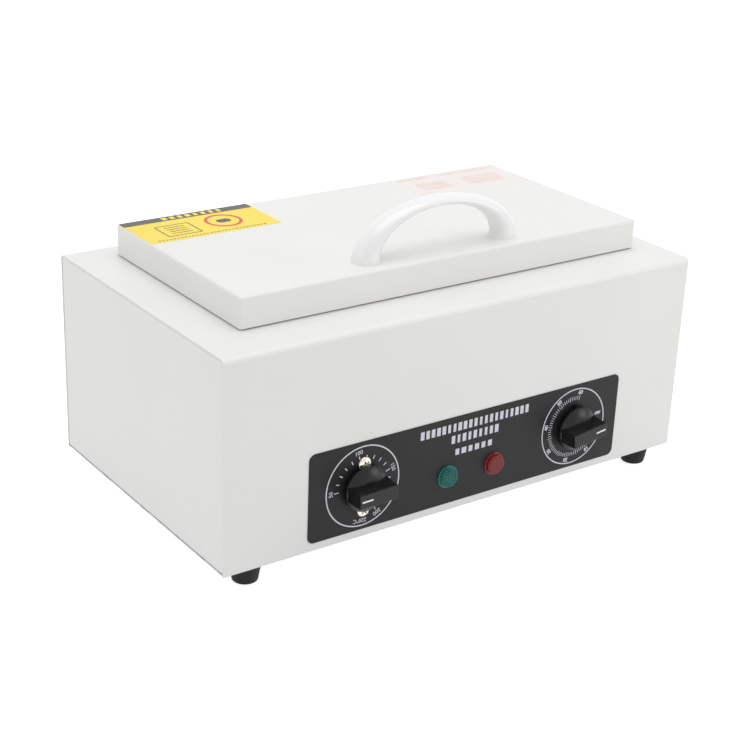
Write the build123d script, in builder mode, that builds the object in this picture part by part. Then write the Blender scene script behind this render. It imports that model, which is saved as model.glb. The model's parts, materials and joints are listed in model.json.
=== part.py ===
from build123d import *
import os
from math import cos, pi, radians, sin

# Bench dry heat sterilizer: a folded steel case with a drop-in stainless chamber, a hinged lid
# with an arched handle, and a front panel with a thermostat, a timer and two lamps.
# Millimetres, +Z up, front towards -Y. The origin is the middle of the whole footprint, on the bench.

# Case
case_width = 320.0
case_depth = 185.0
case_height = 122.0
sheet = 0.9
case_bend = 3.0
side_bend = 1.1
side_inset = 0.1
side_flange = 10.0

# Feet
foot_height = 11.0
foot_top_radius = 9.0
foot_bottom_radius = 7.0
foot_edge = 1.2
foot_from_side = 19.0
foot_from_edge = 10.0
foot_recess_radius = 4.6
foot_recess_depth = 4.0
foot_screw_tail = 4.0

# Lid
lid_side_margin = 22.5
lid_front_margin = 30.0
lid_back_margin = 17.0
lid_height = 17.5
lid_x = 4.8
lid_gap = 0.8
lid_edge = 1.3
pan_sheet = 0.6
pan_flange = 8.0
lid_wool_inset = 5.0
lid_wool_corner = 3.0

# Handle
handle_x = 3.7
handle_from_lid_front = 15.6
handle_spacing = 96.0
handle_rise = 28.0
handle_foot_width = 16.6
handle_foot_thickness = 16.6
handle_crown_width = 12.6
handle_crown_thickness = 5.4
handle_sections = 13
handle_bore_depth = 9.5
handle_screw_grip = 8.0
handle_screw_space = 1.0

# Lid hinges
hinge_from_lid_side = 52.5
hinge_width = 40.0
hinge_leaf = 1.5
hinge_leaf_reach = 11.0
hinge_pin_radius = 1.5
hinge_knuckle_radius = 3.0
hinge_joint_gap = 0.3
hinge_screw_pitch = 24.0
hinge_case_screw_length = 4.0
hinge_lid_screw_length = 3.6
hinge_leaf_land = 1.0

# Chamber
chamber_side_margin = 17.5
chamber_end_margin = 17.0
chamber_above_base = 52.8
chamber_corner = 14.0
chamber_floor_bend = 6.0
tub_wall = 0.8
rim_width = 11.0
rim_thickness = 0.8
opening_clearance = 1.2

# Insulation and heat shield
wool_thickness = 10.0
wool_clearance = 0.3
heater_space = 12.5
shield_sheet = 0.8
shield_flange = 7.0
shield_corner = 20.0

# Heating element
element_radius = 3.3
element_turn_slack = 1.0
element_left_margin = 20.0
element_right_margin = 14.0
element_side_margin = 16.0
element_drop = 7.0
element_tip_radius = 1.4
element_tip = 6.0
clamp_thickness = 1.5
clamp_width = 12.0
clamp_overhang = 6.0
clamp_left_margin = 36.0
clamp_right_margin = 80.0
stud_radius = 2.0
nut_across = 7.0
nut_height = 3.2

# Control panel
fascia_width = 220.0
fascia_height = 53.0
fascia_thickness = 0.4
fascia_corner = 4.0
fascia_x = 1.6
fascia_above_under = 4.7
dial_above_under = 31.0
thermostat_x = -73.4
timer_x = 77.7
thermostat_screw_spacing = 28.0
timer_screw_spacing = 25.0
lamp_above_under = 21.8
heating_lamp_x = -15.4
power_lamp_x = 17.9

# Knobs
knob_gap = 2.9
knob_height = 12.9
knob_radius = 13.4
knob_rim = 1.3
knob_dome = 4.4
knob_bar_length = 25.6
knob_bar_width = 9.2
knob_bar_taper = 2.5
knob_bar_corner = 0.9
knob_edge = 0.4
knob_hollow_radius = 11.6
knob_hollow_depth = 1.6
knob_hub_radius = 5.2
knob_bore_depth = 9.5
thermostat_pointer_angle = 182.0
timer_pointer_angle = 8.0

# Shafts and the two controls behind the panel
shaft_radius = 3.0
shaft_flat = 1.8
shaft_running_gap = 0.06
shaft_end_gap = 0.3
shaft_into_control = 10.0
bush_radius = 4.6
bush_stand = 1.2
control_plate = 1.5
control_plate_width = 38.0
control_plate_height = 40.0
thermostat_block_width = 32.0
thermostat_block_height = 36.0
control_depth = 23.5
control_edge = 2.0
dial_screw_tail = 2.0
dial_screw_pocket = 3.0
timer_can_radius = 19.0
blade_width = 6.3
blade_thickness = 0.8
blade_length = 7.0
blade_pitch = 12.0

# Sensing bulb of the thermostat
bulb_radius = 3.2
bulb_length = 90.0
bulb_left = -30.0
bulb_end_gap = 22.0
capillary_radius = 0.9
capillary_bend = 8.0
capillary_straight = 10.0
capillary_slope = 28.0
capillary_x = -74.0
capillary_drop = 6.6
capillary_hole = 1.6

# Lamps
lamp_flange_radius = 6.9
lamp_flange = 1.2
lamp_lens_radius = 6.0
lamp_proud = 3.3
lamp_neck_radius = 4.9
lamp_neck = 3.2
lamp_nut_radius = 7.6
lamp_nut = 3.6
lamp_barrel_radius = 6.2
lamp_barrel = 20.0

# Mains inlet in the back panel
inlet_from_side = 64.0
inlet_above_under = 16.5
inlet_flange_width = 50.0
inlet_flange_height = 24.0
inlet_flange = 2.4
inlet_flange_corner = 3.0
inlet_body_width = 28.0
inlet_body_height = 20.5
inlet_body_depth = 19.0
inlet_socket_width = 24.4
inlet_socket_height = 16.4
inlet_socket_depth = 17.0
inlet_socket_corner = 5.0
inlet_screw_spacing = 40.0
inlet_pin_pitch = 14.0
inlet_pin_width = 4.0
inlet_pin_thickness = 2.0
inlet_pin_set_back = 4.6
inlet_earth_rise = 4.0

# Over-temperature cut-out and terminal block
cutout_radius = 8.0
cutout_height = 9.0
cutout_x = -20.0
cutout_ear_pitch = 24.0
cutout_ear_width = 9.6
cutout_screw_length = 5.0
block_width = 46.0
block_depth = 20.0
block_height = 15.0
block_x = 40.0
block_forward = 10.0
block_ways = 4
block_corner = 2.0
block_screw_tail = 3.0

# Instrument tray
tray_side_clearance = 9.0
tray_end_clearance = 8.0
tray_height = 28.0
tray_corner = 10.0
tray_sheet = 0.8
tray_rim = 5.0
tray_hole_radius = 3.0
tray_hole_pitch = 18.0
tray_hole_margin = 16.0
tray_lift = 0.3

# Vents
vent_length = 26.0
vent_width = 3.0
vent_pitch = 8.0
vent_count = 6
rear_vent_from_side = 90.0
rear_vent_above_under = 46.0

# Screws
m3_radius = 1.5
m4_radius = 2.0
screw_clearance = 0.15
m3_length = 6.0
m3_head_radius = 2.8
m3_head = 1.8
m4_head_radius = 4.0
m4_head = 2.4
csk_head_radius = 2.7
csk_head = 1.2
head_edge = 0.7

# Places worked out from the sizes above
knob_base = fascia_thickness + knob_gap
front_reach = knob_base + knob_height
rear_reach = inlet_flange
y_front = front_reach - (front_reach + case_depth + rear_reach) / 2
y_back = y_front + case_depth
y_middle = (y_front + y_back) / 2
z_under = foot_height
z_top = z_under + case_height
x_side = case_width / 2 - side_inset
inner_depth = case_depth - 2 * sheet
lid_width = case_width - 2 * lid_side_margin
lid_depth = case_depth - lid_front_margin - lid_back_margin
lid_y = y_front + lid_front_margin + lid_depth / 2
lid_back = lid_y + lid_depth / 2
z_lid = z_top + lid_gap + lid_height
hinge_y = lid_back + hinge_knuckle_radius + hinge_joint_gap
hinge_z = z_top + hinge_knuckle_radius + hinge_joint_gap
z_rim = z_top + rim_thickness
z_tub_floor = z_under + chamber_above_base
z_tub_under = z_tub_floor - tub_wall
z_wool_floor = z_tub_under - heater_space
z_shield_floor = z_wool_floor - wool_thickness
chamber_width = lid_width - 2 * chamber_side_margin
chamber_depth = lid_depth - 2 * chamber_end_margin
tub_outer_width = chamber_width + 2 * tub_wall
tub_outer_depth = chamber_depth + 2 * tub_wall
wool_inner_width = tub_outer_width + 2 * wool_clearance
wool_inner_depth = tub_outer_depth + 2 * wool_clearance
shield_width = wool_inner_width + 2 * wool_thickness
shield_depth = wool_inner_depth + 2 * wool_thickness
z_element = z_tub_under - wool_clearance - element_radius
z_clamp = z_element - element_radius
z_bulb = z_tub_under - wool_clearance - bulb_radius
z_dial = z_under + dial_above_under
z_lamp = z_under + lamp_above_under
z_inlet = z_under + inlet_above_under
handle_y = lid_y - lid_depth / 2 + handle_from_lid_front
bore_m3 = m3_radius + screw_clearance
bore_m4 = m4_radius + screw_clearance
thermostat_screw_spots = [(thermostat_x, z_dial + side * thermostat_screw_spacing / 2) for side in (-1, 1)]
timer_screw_spots = [(timer_x, z_dial + side * timer_screw_spacing / 2) for side in (-1, 1)]
tray_width = chamber_width - 2 * tray_side_clearance
tray_depth = chamber_depth - 2 * tray_end_clearance
tray_columns = int((tray_width - 2 * tray_hole_margin) / tray_hole_pitch) + 1
tray_rows = int((tray_depth - 2 * tray_hole_margin) / tray_hole_pitch) + 1
inlet_x = case_width / 2 - inlet_from_side
rear_vent_x = rear_vent_from_side - case_width / 2
lamp_spots = [(heating_lamp_x, z_lamp), (power_lamp_x, z_lamp)]
foot_spots = [
    (sx * (case_width / 2 - foot_from_side), y)
    for sx in (-1, 1)
    for y in (y_front + foot_from_edge, y_back - foot_from_edge)
]
base_screw_x = x_side - side_flange / 2 - sheet / 2
base_screw_pitch = case_depth / 3
base_screw_spots = [
    (side * base_screw_x, y_middle + row * base_screw_pitch) for side in (-1, 1) for row in (-1, 0, 1)
]
element_left = chamber_width / 2 - element_left_margin
element_right = chamber_width / 2 - element_right_margin
element_middle_right = bulb_left + bulb_length + bulb_end_gap
element_outer_run = chamber_depth / 2 - element_side_margin
element_inner_run = element_outer_run / 3
element_turn = element_inner_run - element_turn_slack
clamp_length = 2 * (element_outer_run + clamp_overhang)
clamp_stud_y = (element_outer_run + element_inner_run) / 2
element_tips = [(lid_x + element_right, lid_y + side * element_outer_run) for side in (-1, 1)]
clamp_xs = [lid_x - chamber_width / 2 + clamp_left_margin, lid_x + chamber_width / 2 - clamp_right_margin]
stud_spots = [(x, lid_y + side * clamp_stud_y) for x in clamp_xs for side in (-1, 1)]
hinge_xs = [lid_x + side * (lid_width / 2 - hinge_from_lid_side) for side in (-1, 1)]
hinge_screw_xs = [x + side * hinge_screw_pitch / 2 for x in hinge_xs for side in (-1, 1)]
hinge_case_screw_y = hinge_y + hinge_leaf_reach - csk_head_radius - hinge_leaf_land
hinge_lid_screw_z = hinge_z + hinge_leaf_reach - csk_head_radius - hinge_leaf_land
handle_spots = [(handle_x + side * handle_spacing / 2, handle_y) for side in (-1, 1)]
cutout_y = lid_y
block_y = lid_y - block_forward

# Planes that face out of the front, out of the back and down to the bench
front_plane = Plane(origin=(0, y_front, 0), x_dir=(1, 0, 0), z_dir=(0, -1, 0))
fascia_plane = front_plane.offset(fascia_thickness)
inside_front = front_plane.offset(-sheet)
back_plane = Plane(origin=(0, y_back, 0), x_dir=(-1, 0, 0), z_dir=(0, 1, 0))
under_plane = Plane(origin=(0, 0, z_under), x_dir=(1, 0, 0), z_dir=(0, 0, -1))

tolerance = 0.01

os.makedirs("parts", exist_ok=True)


def save(builder, name):
    builder.part.label = name
    export_step(builder.part, f"parts/{name}.step")


def seat(plane, height):
    """Edges that lie at this height above the plane."""
    axis = Axis(plane.origin, plane.z_dir)
    return lambda builder: builder.edges().filter_by_position(axis, height - tolerance, height + tolerance)


def pan_screws(plane, spots, shank, length, head_radius, head):
    """Pan-head screws whose heads sit on the plane and whose shanks go in through it."""
    with BuildPart() as screws:
        with BuildSketch(plane):
            with Locations(*spots):
                Circle(head_radius)
        extrude(amount=head)
        fillet(seat(plane, head)(screws), head_edge)
        with BuildSketch(plane):
            with Locations(*spots):
                Circle(shank)
        extrude(amount=-length)
    return screws


def flush_screws(plane, spots, shank, length):
    """Countersunk screws whose heads end level with the plane."""
    with BuildPart() as screws:
        for x, y in spots:
            with BuildSketch(plane):
                with Locations((x, y)):
                    Circle(csk_head_radius - screw_clearance)
            with BuildSketch(plane.offset(-csk_head)):
                with Locations((x, y)):
                    Circle(shank)
            loft()
        with BuildSketch(plane.offset(-csk_head)):
            with Locations(*spots):
                Circle(shank)
        extrude(amount=-length)
    return screws


# Case: one sheet folded over the front, the top and the back, white powder coated
with BuildPart() as case_wrapper:
    with BuildSketch(Plane.YZ.offset(-case_width / 2)):
        with BuildLine():
            FilletPolyline(
                (y_front, z_under), (y_front, z_top), (y_back, z_top), (y_back, z_under), radius=case_bend
            )
            offset(amount=sheet, side=Side.RIGHT)
        make_face()
    extrude(amount=case_width)
    # Opening that the chamber drops through
    with BuildSketch(Plane.XY.offset(z_top)):
        with Locations((lid_x, lid_y)):
            RectangleRounded(
                tub_outer_width + 2 * opening_clearance,
                tub_outer_depth + 2 * opening_clearance,
                chamber_corner + tub_wall + opening_clearance,
            )
    extrude(amount=-sheet, mode=Mode.SUBTRACT)
    # Holes for the hinge screws
    with BuildSketch(Plane.XY.offset(z_top)):
        with Locations(*[(x, hinge_case_screw_y) for x in hinge_screw_xs]):
            Circle(bore_m3)
    extrude(amount=-sheet, mode=Mode.SUBTRACT)
    # Holes for the two controls, their screws and the lamps
    with BuildSketch(front_plane):
        with Locations((thermostat_x, z_dial), (timer_x, z_dial)):
            Circle(bush_radius + screw_clearance)
        with Locations(*thermostat_screw_spots):
            Circle(bore_m4)
        with Locations(*timer_screw_spots):
            Circle(bore_m3)
        with Locations(*lamp_spots):
            Circle(lamp_neck_radius + screw_clearance)
    extrude(amount=-sheet, mode=Mode.SUBTRACT)
    # Inlet cut-out, its screw holes and the vent slots
    with BuildSketch(back_plane):
        with Locations((-inlet_x, z_inlet)):
            Rectangle(inlet_body_width + 2 * screw_clearance, inlet_body_height + 2 * screw_clearance)
            with GridLocations(inlet_screw_spacing, 0, 2, 1):
                Circle(bore_m3)
        with Locations((-rear_vent_x, z_under + rear_vent_above_under)):
            with GridLocations(0, vent_pitch, 1, vent_count):
                SlotOverall(2 * vent_length, vent_width)
    extrude(amount=-sheet, mode=Mode.SUBTRACT)
save(case_wrapper, "case_wrapper")


# Side panels: shallow pans whose return flanges are spot-welded inside the wrapper
def side_panel(side):
    with BuildPart() as panel:
        with BuildSketch(Plane.YZ.offset(side * x_side)) as outline:
            with Locations((y_middle, (z_under + z_top) / 2)):
                Rectangle(inner_depth, case_height - 2 * sheet)
            fillet(outline.vertices().group_by(Axis.Z)[-1], case_bend - sheet)
        extrude(amount=-side * side_flange)
        outer = panel.faces().sort_by(Axis.X)[0 if side < 0 else -1]
        fillet(outer.edges(), side_bend)
        inner = panel.faces().sort_by(Axis.X)[-1 if side < 0 else 0]
        offset(amount=-sheet, openings=inner)
        with BuildSketch(Plane.XY.offset(z_under + sheet)):
            with Locations(*[spot for spot in base_screw_spots if spot[0] * side > 0]):
                Circle(bore_m3)
        extrude(amount=sheet, mode=Mode.SUBTRACT)
    return panel


for side, word in ((-1, "left"), (1, "right")):
    save(side_panel(side), f"side_panel_{word}")

# Base plate: flat steel sheet with air slots, screwed up into the side flanges
with BuildPart() as base_plate:
    with BuildSketch(Plane.XY.offset(z_under)):
        with Locations((0, y_middle)):
            Rectangle(2 * x_side, inner_depth)
        with Locations(*foot_spots):
            Circle(bore_m4, mode=Mode.SUBTRACT)
        with Locations(*base_screw_spots):
            Circle(bore_m3, mode=Mode.SUBTRACT)
        with Locations((0, y_middle)):
            with GridLocations(case_width / 2, vent_pitch, 2, vent_count):
                SlotOverall(vent_length, vent_width, mode=Mode.SUBTRACT)
        with Locations((block_x, block_y)):
            with GridLocations(block_width - 2 * m3_head_radius, 0, 2, 1):
                Circle(bore_m3, mode=Mode.SUBTRACT)
    extrude(amount=sheet)
save(base_plate, "base_plate")

base_screws = pan_screws(
    under_plane, [(x, -y) for x, y in base_screw_spots], m3_radius, m3_length, m3_head_radius, m3_head
)
save(base_screws, "base_screws")


# Feet: moulded rubber cones, each held by one screw from below
def rubber_foot(x, y):
    with BuildPart() as foot:
        with BuildSketch(Plane(origin=(x, y, 0), x_dir=(1, 0, 0), z_dir=(0, -1, 0))):
            with BuildLine():
                Polyline(
                    (0, 0),
                    (foot_bottom_radius, 0),
                    (foot_top_radius, foot_height),
                    (0, foot_height),
                    close=True,
                )
            make_face()
        revolve(axis=Axis((x, y, 0), (0, 0, 1)))
        fillet(foot.edges().group_by(Axis.Z)[0], foot_edge)
        with Locations(Plane(origin=(x, y, 0), z_dir=(0, 0, -1))):
            CounterBoreHole(bore_m4, foot_recess_radius, foot_recess_depth)
    return foot


foot_names = ["foot_front_left", "foot_rear_left", "foot_front_right", "foot_rear_right"]
for name, (x, y) in zip(foot_names, foot_spots):
    save(rubber_foot(x, y), name)

foot_screw_plane = Plane(origin=(0, 0, foot_recess_depth), x_dir=(1, 0, 0), z_dir=(0, 0, -1))
foot_screw_length = foot_height - foot_recess_depth + sheet + foot_screw_tail
foot_screws = pan_screws(
    foot_screw_plane, [(x, -y) for x, y in foot_spots], m4_radius, foot_screw_length, m4_head_radius, m4_head
)
save(foot_screws, "foot_screws")

# Chamber: deep-drawn stainless tub that hangs in the top opening by its rim
with BuildPart() as chamber_tub:
    with BuildSketch(Plane.XY.offset(z_tub_under)):
        with Locations((lid_x, lid_y)):
            RectangleRounded(tub_outer_width, tub_outer_depth, chamber_corner + tub_wall)
    extrude(amount=z_rim - z_tub_under)
    fillet(chamber_tub.edges().group_by(Axis.Z)[0], chamber_floor_bend + tub_wall)
    offset(amount=-tub_wall, openings=chamber_tub.faces().sort_by(Axis.Z)[-1])
    with BuildSketch(Plane.XY.offset(z_top)):
        with Locations((lid_x, lid_y)):
            RectangleRounded(
                chamber_width + 2 * rim_width, chamber_depth + 2 * rim_width, chamber_corner + rim_width
            )
            RectangleRounded(chamber_width, chamber_depth, chamber_corner, mode=Mode.SUBTRACT)
    extrude(amount=rim_thickness)
save(chamber_tub, "chamber_tub")

# Heat shield: galvanised box round the tub, welded under the case top by its turned-out flange
shield_top = z_top - sheet
with BuildPart() as heat_shield:
    with BuildSketch(Plane.XY.offset(z_shield_floor - shield_sheet)):
        with Locations((lid_x, lid_y)):
            RectangleRounded(shield_width + 2 * shield_sheet, shield_depth + 2 * shield_sheet, shield_corner)
    extrude(amount=shield_top - z_shield_floor + shield_sheet)
    offset(amount=-shield_sheet, openings=heat_shield.faces().sort_by(Axis.Z)[-1])
    with BuildSketch(Plane.XY.offset(shield_top)):
        with Locations((lid_x, lid_y)):
            RectangleRounded(
                shield_width + 2 * shield_flange,
                shield_depth + 2 * shield_flange,
                shield_corner + shield_flange,
            )
            RectangleRounded(shield_width, shield_depth, shield_corner - shield_sheet, mode=Mode.SUBTRACT)
    extrude(amount=-shield_sheet)
    # Holes for the element's cold ends, the cut-out's screws and the capillary
    with BuildSketch(Plane.XY.offset(z_shield_floor)):
        with Locations(*element_tips):
            Circle(element_radius + capillary_hole)
        with Locations((lid_x + cutout_x, cutout_y)):
            with GridLocations(cutout_ear_pitch, 0, 2, 1):
                Circle(bore_m3)
    extrude(amount=-shield_sheet, mode=Mode.SUBTRACT)
    with BuildSketch(Plane.XZ.offset(-(lid_y - shield_depth / 2))):
        with Locations((lid_x + capillary_x, z_bulb - capillary_drop)):
            Circle(capillary_hole)
    extrude(amount=shield_sheet, mode=Mode.SUBTRACT)
save(heat_shield, "heat_shield")

# Insulation: a mineral wool wrap round the tub and a wool slab under it
with BuildPart() as insulation_floor:
    with BuildSketch(Plane.XY.offset(z_shield_floor)):
        with Locations((lid_x, lid_y)):
            RectangleRounded(
                shield_width - 2 * wool_clearance,
                shield_depth - 2 * wool_clearance,
                shield_corner - shield_sheet,
            )
        with Locations(*element_tips):
            Circle(element_radius + capillary_hole, mode=Mode.SUBTRACT)
        with Locations((lid_x + cutout_x, cutout_y)):
            with GridLocations(cutout_ear_pitch, 0, 2, 1):
                Circle(m3_head_radius, mode=Mode.SUBTRACT)
    extrude(amount=wool_thickness)
save(insulation_floor, "insulation_floor")

with BuildPart() as insulation_wrap:
    with BuildSketch(Plane.XY.offset(z_wool_floor)):
        with Locations((lid_x, lid_y)):
            RectangleRounded(
                shield_width - 2 * wool_clearance,
                shield_depth - 2 * wool_clearance,
                shield_corner - shield_sheet,
            )
            RectangleRounded(
                wool_inner_width,
                wool_inner_depth,
                chamber_corner + tub_wall + wool_clearance,
                mode=Mode.SUBTRACT,
            )
    extrude(amount=shield_top - z_wool_floor)
    with BuildSketch(Plane.XZ.offset(-(lid_y - wool_inner_depth / 2))):
        with Locations((lid_x + capillary_x, z_bulb - capillary_drop)):
            Circle(capillary_hole)
    extrude(amount=wool_thickness, mode=Mode.SUBTRACT)
save(insulation_wrap, "insulation_wrap")

# Heating element: one sheathed tube bent into four runs, its cold ends turned down
z_element_end = z_shield_floor - shield_sheet - element_drop
element_points = [
    (element_right, -element_outer_run, z_element_end),
    (element_right, -element_outer_run, z_element),
    (-element_left, -element_outer_run, z_element),
    (-element_left, -element_inner_run, z_element),
    (element_middle_right, -element_inner_run, z_element),
    (element_middle_right, element_inner_run, z_element),
    (-element_left, element_inner_run, z_element),
    (-element_left, element_outer_run, z_element),
    (element_right, element_outer_run, z_element),
    (element_right, element_outer_run, z_element_end),
]
with BuildPart() as heating_element:
    with BuildLine():
        FilletPolyline(*[(lid_x + x, lid_y + y, z) for x, y, z in element_points], radius=element_turn)
    with BuildSketch(Plane.XY.offset(z_element_end)):
        with Locations(element_tips[0]):
            Circle(element_radius)
    sweep()
    with BuildSketch(Plane.XY.offset(z_element_end)):
        with Locations(*element_tips):
            Circle(element_tip_radius)
    extrude(amount=-element_tip)
save(heating_element, "heating_element")

# Two straps on welded studs press the element against the tub
with BuildPart() as element_clamps:
    with BuildSketch(Plane.XY.offset(z_clamp - clamp_thickness)):
        with Locations(*[(x, lid_y) for x in clamp_xs]):
            RectangleRounded(clamp_width, clamp_length, 2 * clamp_thickness)
        with Locations(*stud_spots):
            Circle(bore_m4, mode=Mode.SUBTRACT)
    extrude(amount=clamp_thickness)
save(element_clamps, "element_clamps")

with BuildPart() as tub_studs:
    with BuildSketch(Plane.XY.offset(z_tub_under)):
        with Locations(*stud_spots):
            Circle(stud_radius)
    extrude(amount=-(heater_space - wool_clearance))
save(tub_studs, "tub_studs")

with BuildPart() as clamp_nuts:
    with BuildSketch(Plane.XY.offset(z_clamp - clamp_thickness)):
        with Locations(*stud_spots):
            RegularPolygon(nut_across / 2, 6, major_radius=False)
            Circle(bore_m4, mode=Mode.SUBTRACT)
    extrude(amount=-nut_height)
save(clamp_nuts, "clamp_nuts")

# Control panel: printed plastic overlay stuck to the front of the case
with BuildPart() as control_panel:
    with BuildSketch(front_plane):
        with Locations((fascia_x, z_under + fascia_above_under + fascia_height / 2)):
            RectangleRounded(fascia_width, fascia_height, fascia_corner)
        with Locations((thermostat_x, z_dial), (timer_x, z_dial)):
            Circle(bush_radius + screw_clearance, mode=Mode.SUBTRACT)
        with Locations(*thermostat_screw_spots):
            Circle(bore_m4, mode=Mode.SUBTRACT)
        with Locations(*timer_screw_spots):
            Circle(bore_m3, mode=Mode.SUBTRACT)
        with Locations(*lamp_spots):
            Circle(lamp_neck_radius + screw_clearance, mode=Mode.SUBTRACT)
    extrude(amount=fascia_thickness)
save(control_panel, "control_panel")

dial_screw_length = fascia_thickness + sheet + control_plate + dial_screw_tail
thermostat_screws = pan_screws(
    fascia_plane, thermostat_screw_spots, m4_radius, dial_screw_length, m4_head_radius, m4_head
)
save(thermostat_screws, "thermostat_screws")

timer_screws = pan_screws(
    fascia_plane, timer_screw_spots, m3_radius, dial_screw_length, m3_head_radius, m3_head
)
save(timer_screws, "timer_screws")


# Mounting plates of the two controls, tapped for the panel screws
def mounting_plate(x, screw_spots, screw_bore):
    with BuildPart() as plate:
        with BuildSketch(inside_front):
            with Locations((x, z_dial)):
                RectangleRounded(control_plate_width, control_plate_height, 2 * control_plate)
                Circle(bush_radius + screw_clearance, mode=Mode.SUBTRACT)
            with Locations(*screw_spots):
                Circle(screw_bore, mode=Mode.SUBTRACT)
        extrude(amount=-control_plate)
    return plate


save(mounting_plate(thermostat_x, thermostat_screw_spots, bore_m4), "thermostat_plate")
save(mounting_plate(timer_x, timer_screw_spots, bore_m3), "timer_plate")

# Bodies of the controls, each with a bush through the panel and blade terminals at the back
control_seat = inside_front.offset(-control_plate)
control_rear = control_seat.offset(-control_depth)
bush_length = control_plate + sheet + fascia_thickness + bush_stand


def control_body(x, screw_spots, is_can):
    """A thermostat block or a round timer can, on the plane behind its mounting plate."""
    with BuildPart() as body:
        with BuildSketch(control_seat):
            with Locations((x, z_dial)):
                if is_can:
                    Circle(timer_can_radius)
                else:
                    RectangleRounded(thermostat_block_width, thermostat_block_height, control_edge)
        extrude(amount=-control_depth)
        fillet(body.faces().sort_by(Axis.Y)[-1].edges(), control_edge)
        # Bush, shaft bore and pockets for the ends of the panel screws
        with BuildSketch(control_seat):
            with Locations((x, z_dial)):
                Circle(bush_radius)
        extrude(amount=bush_length)
        with BuildSketch(control_seat.offset(bush_length)):
            with Locations((x, z_dial)):
                Circle(shaft_radius + shaft_running_gap)
        extrude(amount=-(bush_length + shaft_into_control + shaft_running_gap), mode=Mode.SUBTRACT)
        with BuildSketch(control_seat):
            with Locations(*screw_spots):
                Circle(dial_screw_pocket)
        extrude(amount=-2 * dial_screw_tail, mode=Mode.SUBTRACT)
        # Blade terminals at the back
        with BuildSketch(control_rear):
            with Locations((x, z_dial)):
                with GridLocations(blade_pitch, 0, 2, 1):
                    Rectangle(blade_thickness, blade_width)
        extrude(amount=-blade_length)
    return body


save(control_body(thermostat_x, thermostat_screw_spots, False), "thermostat_body")
save(control_body(timer_x, timer_screw_spots, True), "timer_body")

# Sensing bulb under the chamber floor, on a thin capillary that runs to the thermostat
bulb_spot = (lid_x + bulb_left, lid_y, z_bulb)
z_capillary = z_bulb - capillary_drop
y_capillary_end = y_front + sheet + control_plate + control_depth
capillary_points = [
    bulb_spot,
    (lid_x + bulb_left - capillary_straight, lid_y, z_bulb),
    (lid_x + bulb_left - capillary_slope, lid_y, z_capillary),
    (lid_x + capillary_x, lid_y, z_capillary),
    (lid_x + capillary_x, y_capillary_end, z_capillary),
]
with BuildPart() as thermostat_bulb:
    with BuildLine():
        FilletPolyline(*capillary_points, radius=[capillary_bend, capillary_bend, capillary_bend])
    with BuildSketch(Plane(origin=bulb_spot, z_dir=(-1, 0, 0))):
        Circle(capillary_radius)
    sweep()
    with BuildSketch(Plane.YZ.offset(lid_x + bulb_left)):
        with Locations((lid_y, z_bulb)):
            Circle(bulb_radius)
    extrude(amount=bulb_length)
    fillet(thermostat_bulb.faces().sort_by(Axis.X)[-1].edges(), bulb_radius / 2)
save(thermostat_bulb, "thermostat_bulb")


# Knobs: black moulded dome with a tall grip bar across it, on a flatted shaft
knob_dome_middle = (knob_radius * 0.7, -knob_dome * 0.85)


def knob(x, angle):
    across = (cos(radians(angle)), 0, sin(radians(angle)))
    base = Plane(origin=(x, y_front - knob_base, z_dial), x_dir=across, z_dir=(0, -1, 0))
    side_on = Plane(origin=base.origin, x_dir=across, z_dir=base.y_dir)
    with BuildPart() as body:
        with BuildSketch(side_on):
            with BuildLine():
                Polyline((0, -knob_dome), (0, 0), (knob_radius, 0), (knob_radius, -knob_rim))
                ThreePointArc((knob_radius, -knob_rim), knob_dome_middle, (0, -knob_dome))
            make_face()
        revolve(axis=Axis(base.origin, base.z_dir))
        with BuildSketch(base.offset(knob_rim)):
            RectangleRounded(knob_bar_length, knob_bar_width, knob_bar_corner)
        extrude(amount=knob_height - knob_rim, taper=knob_bar_taper)
        fillet(seat(base, knob_height)(body), knob_edge)
        # Hollow underside round the hub
        with BuildSketch(base):
            Circle(knob_hollow_radius)
            Circle(knob_hub_radius, mode=Mode.SUBTRACT)
        extrude(amount=knob_hollow_depth, mode=Mode.SUBTRACT)
        with BuildSketch(base) as bore:
            Circle(shaft_radius + 2 * shaft_running_gap)
            with Locations((0, shaft_flat + shaft_radius)):
                Rectangle(4 * shaft_radius, 2 * shaft_radius, mode=Mode.SUBTRACT)
        extrude(amount=knob_bore_depth, mode=Mode.SUBTRACT)
    return body


def shaft(x, angle):
    across = (cos(radians(angle)), 0, sin(radians(angle)))
    y_inner_end = y_front + sheet + control_plate + shaft_into_control
    inner_end = Plane(origin=(x, y_inner_end, z_dial), x_dir=across, z_dir=(0, -1, 0))
    flat_start = shaft_into_control + control_plate + sheet + knob_base
    flat_length = knob_bore_depth - shaft_end_gap
    with BuildPart() as rod:
        with BuildSketch(inner_end):
            Circle(shaft_radius)
        extrude(amount=flat_start + flat_length)
        with BuildSketch(inner_end.offset(flat_start - shaft_end_gap)):
            with Locations((0, shaft_flat + shaft_radius - 2 * shaft_running_gap)):
                Rectangle(4 * shaft_radius, 2 * shaft_radius)
        extrude(amount=flat_length + shaft_end_gap, mode=Mode.SUBTRACT)
    return rod


for name, x, angle in (
    ("thermostat", thermostat_x, thermostat_pointer_angle),
    ("timer", timer_x, timer_pointer_angle),
):
    save(knob(x, angle), f"{name}_knob")
    save(shaft(x, angle), f"{name}_shaft")


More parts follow.
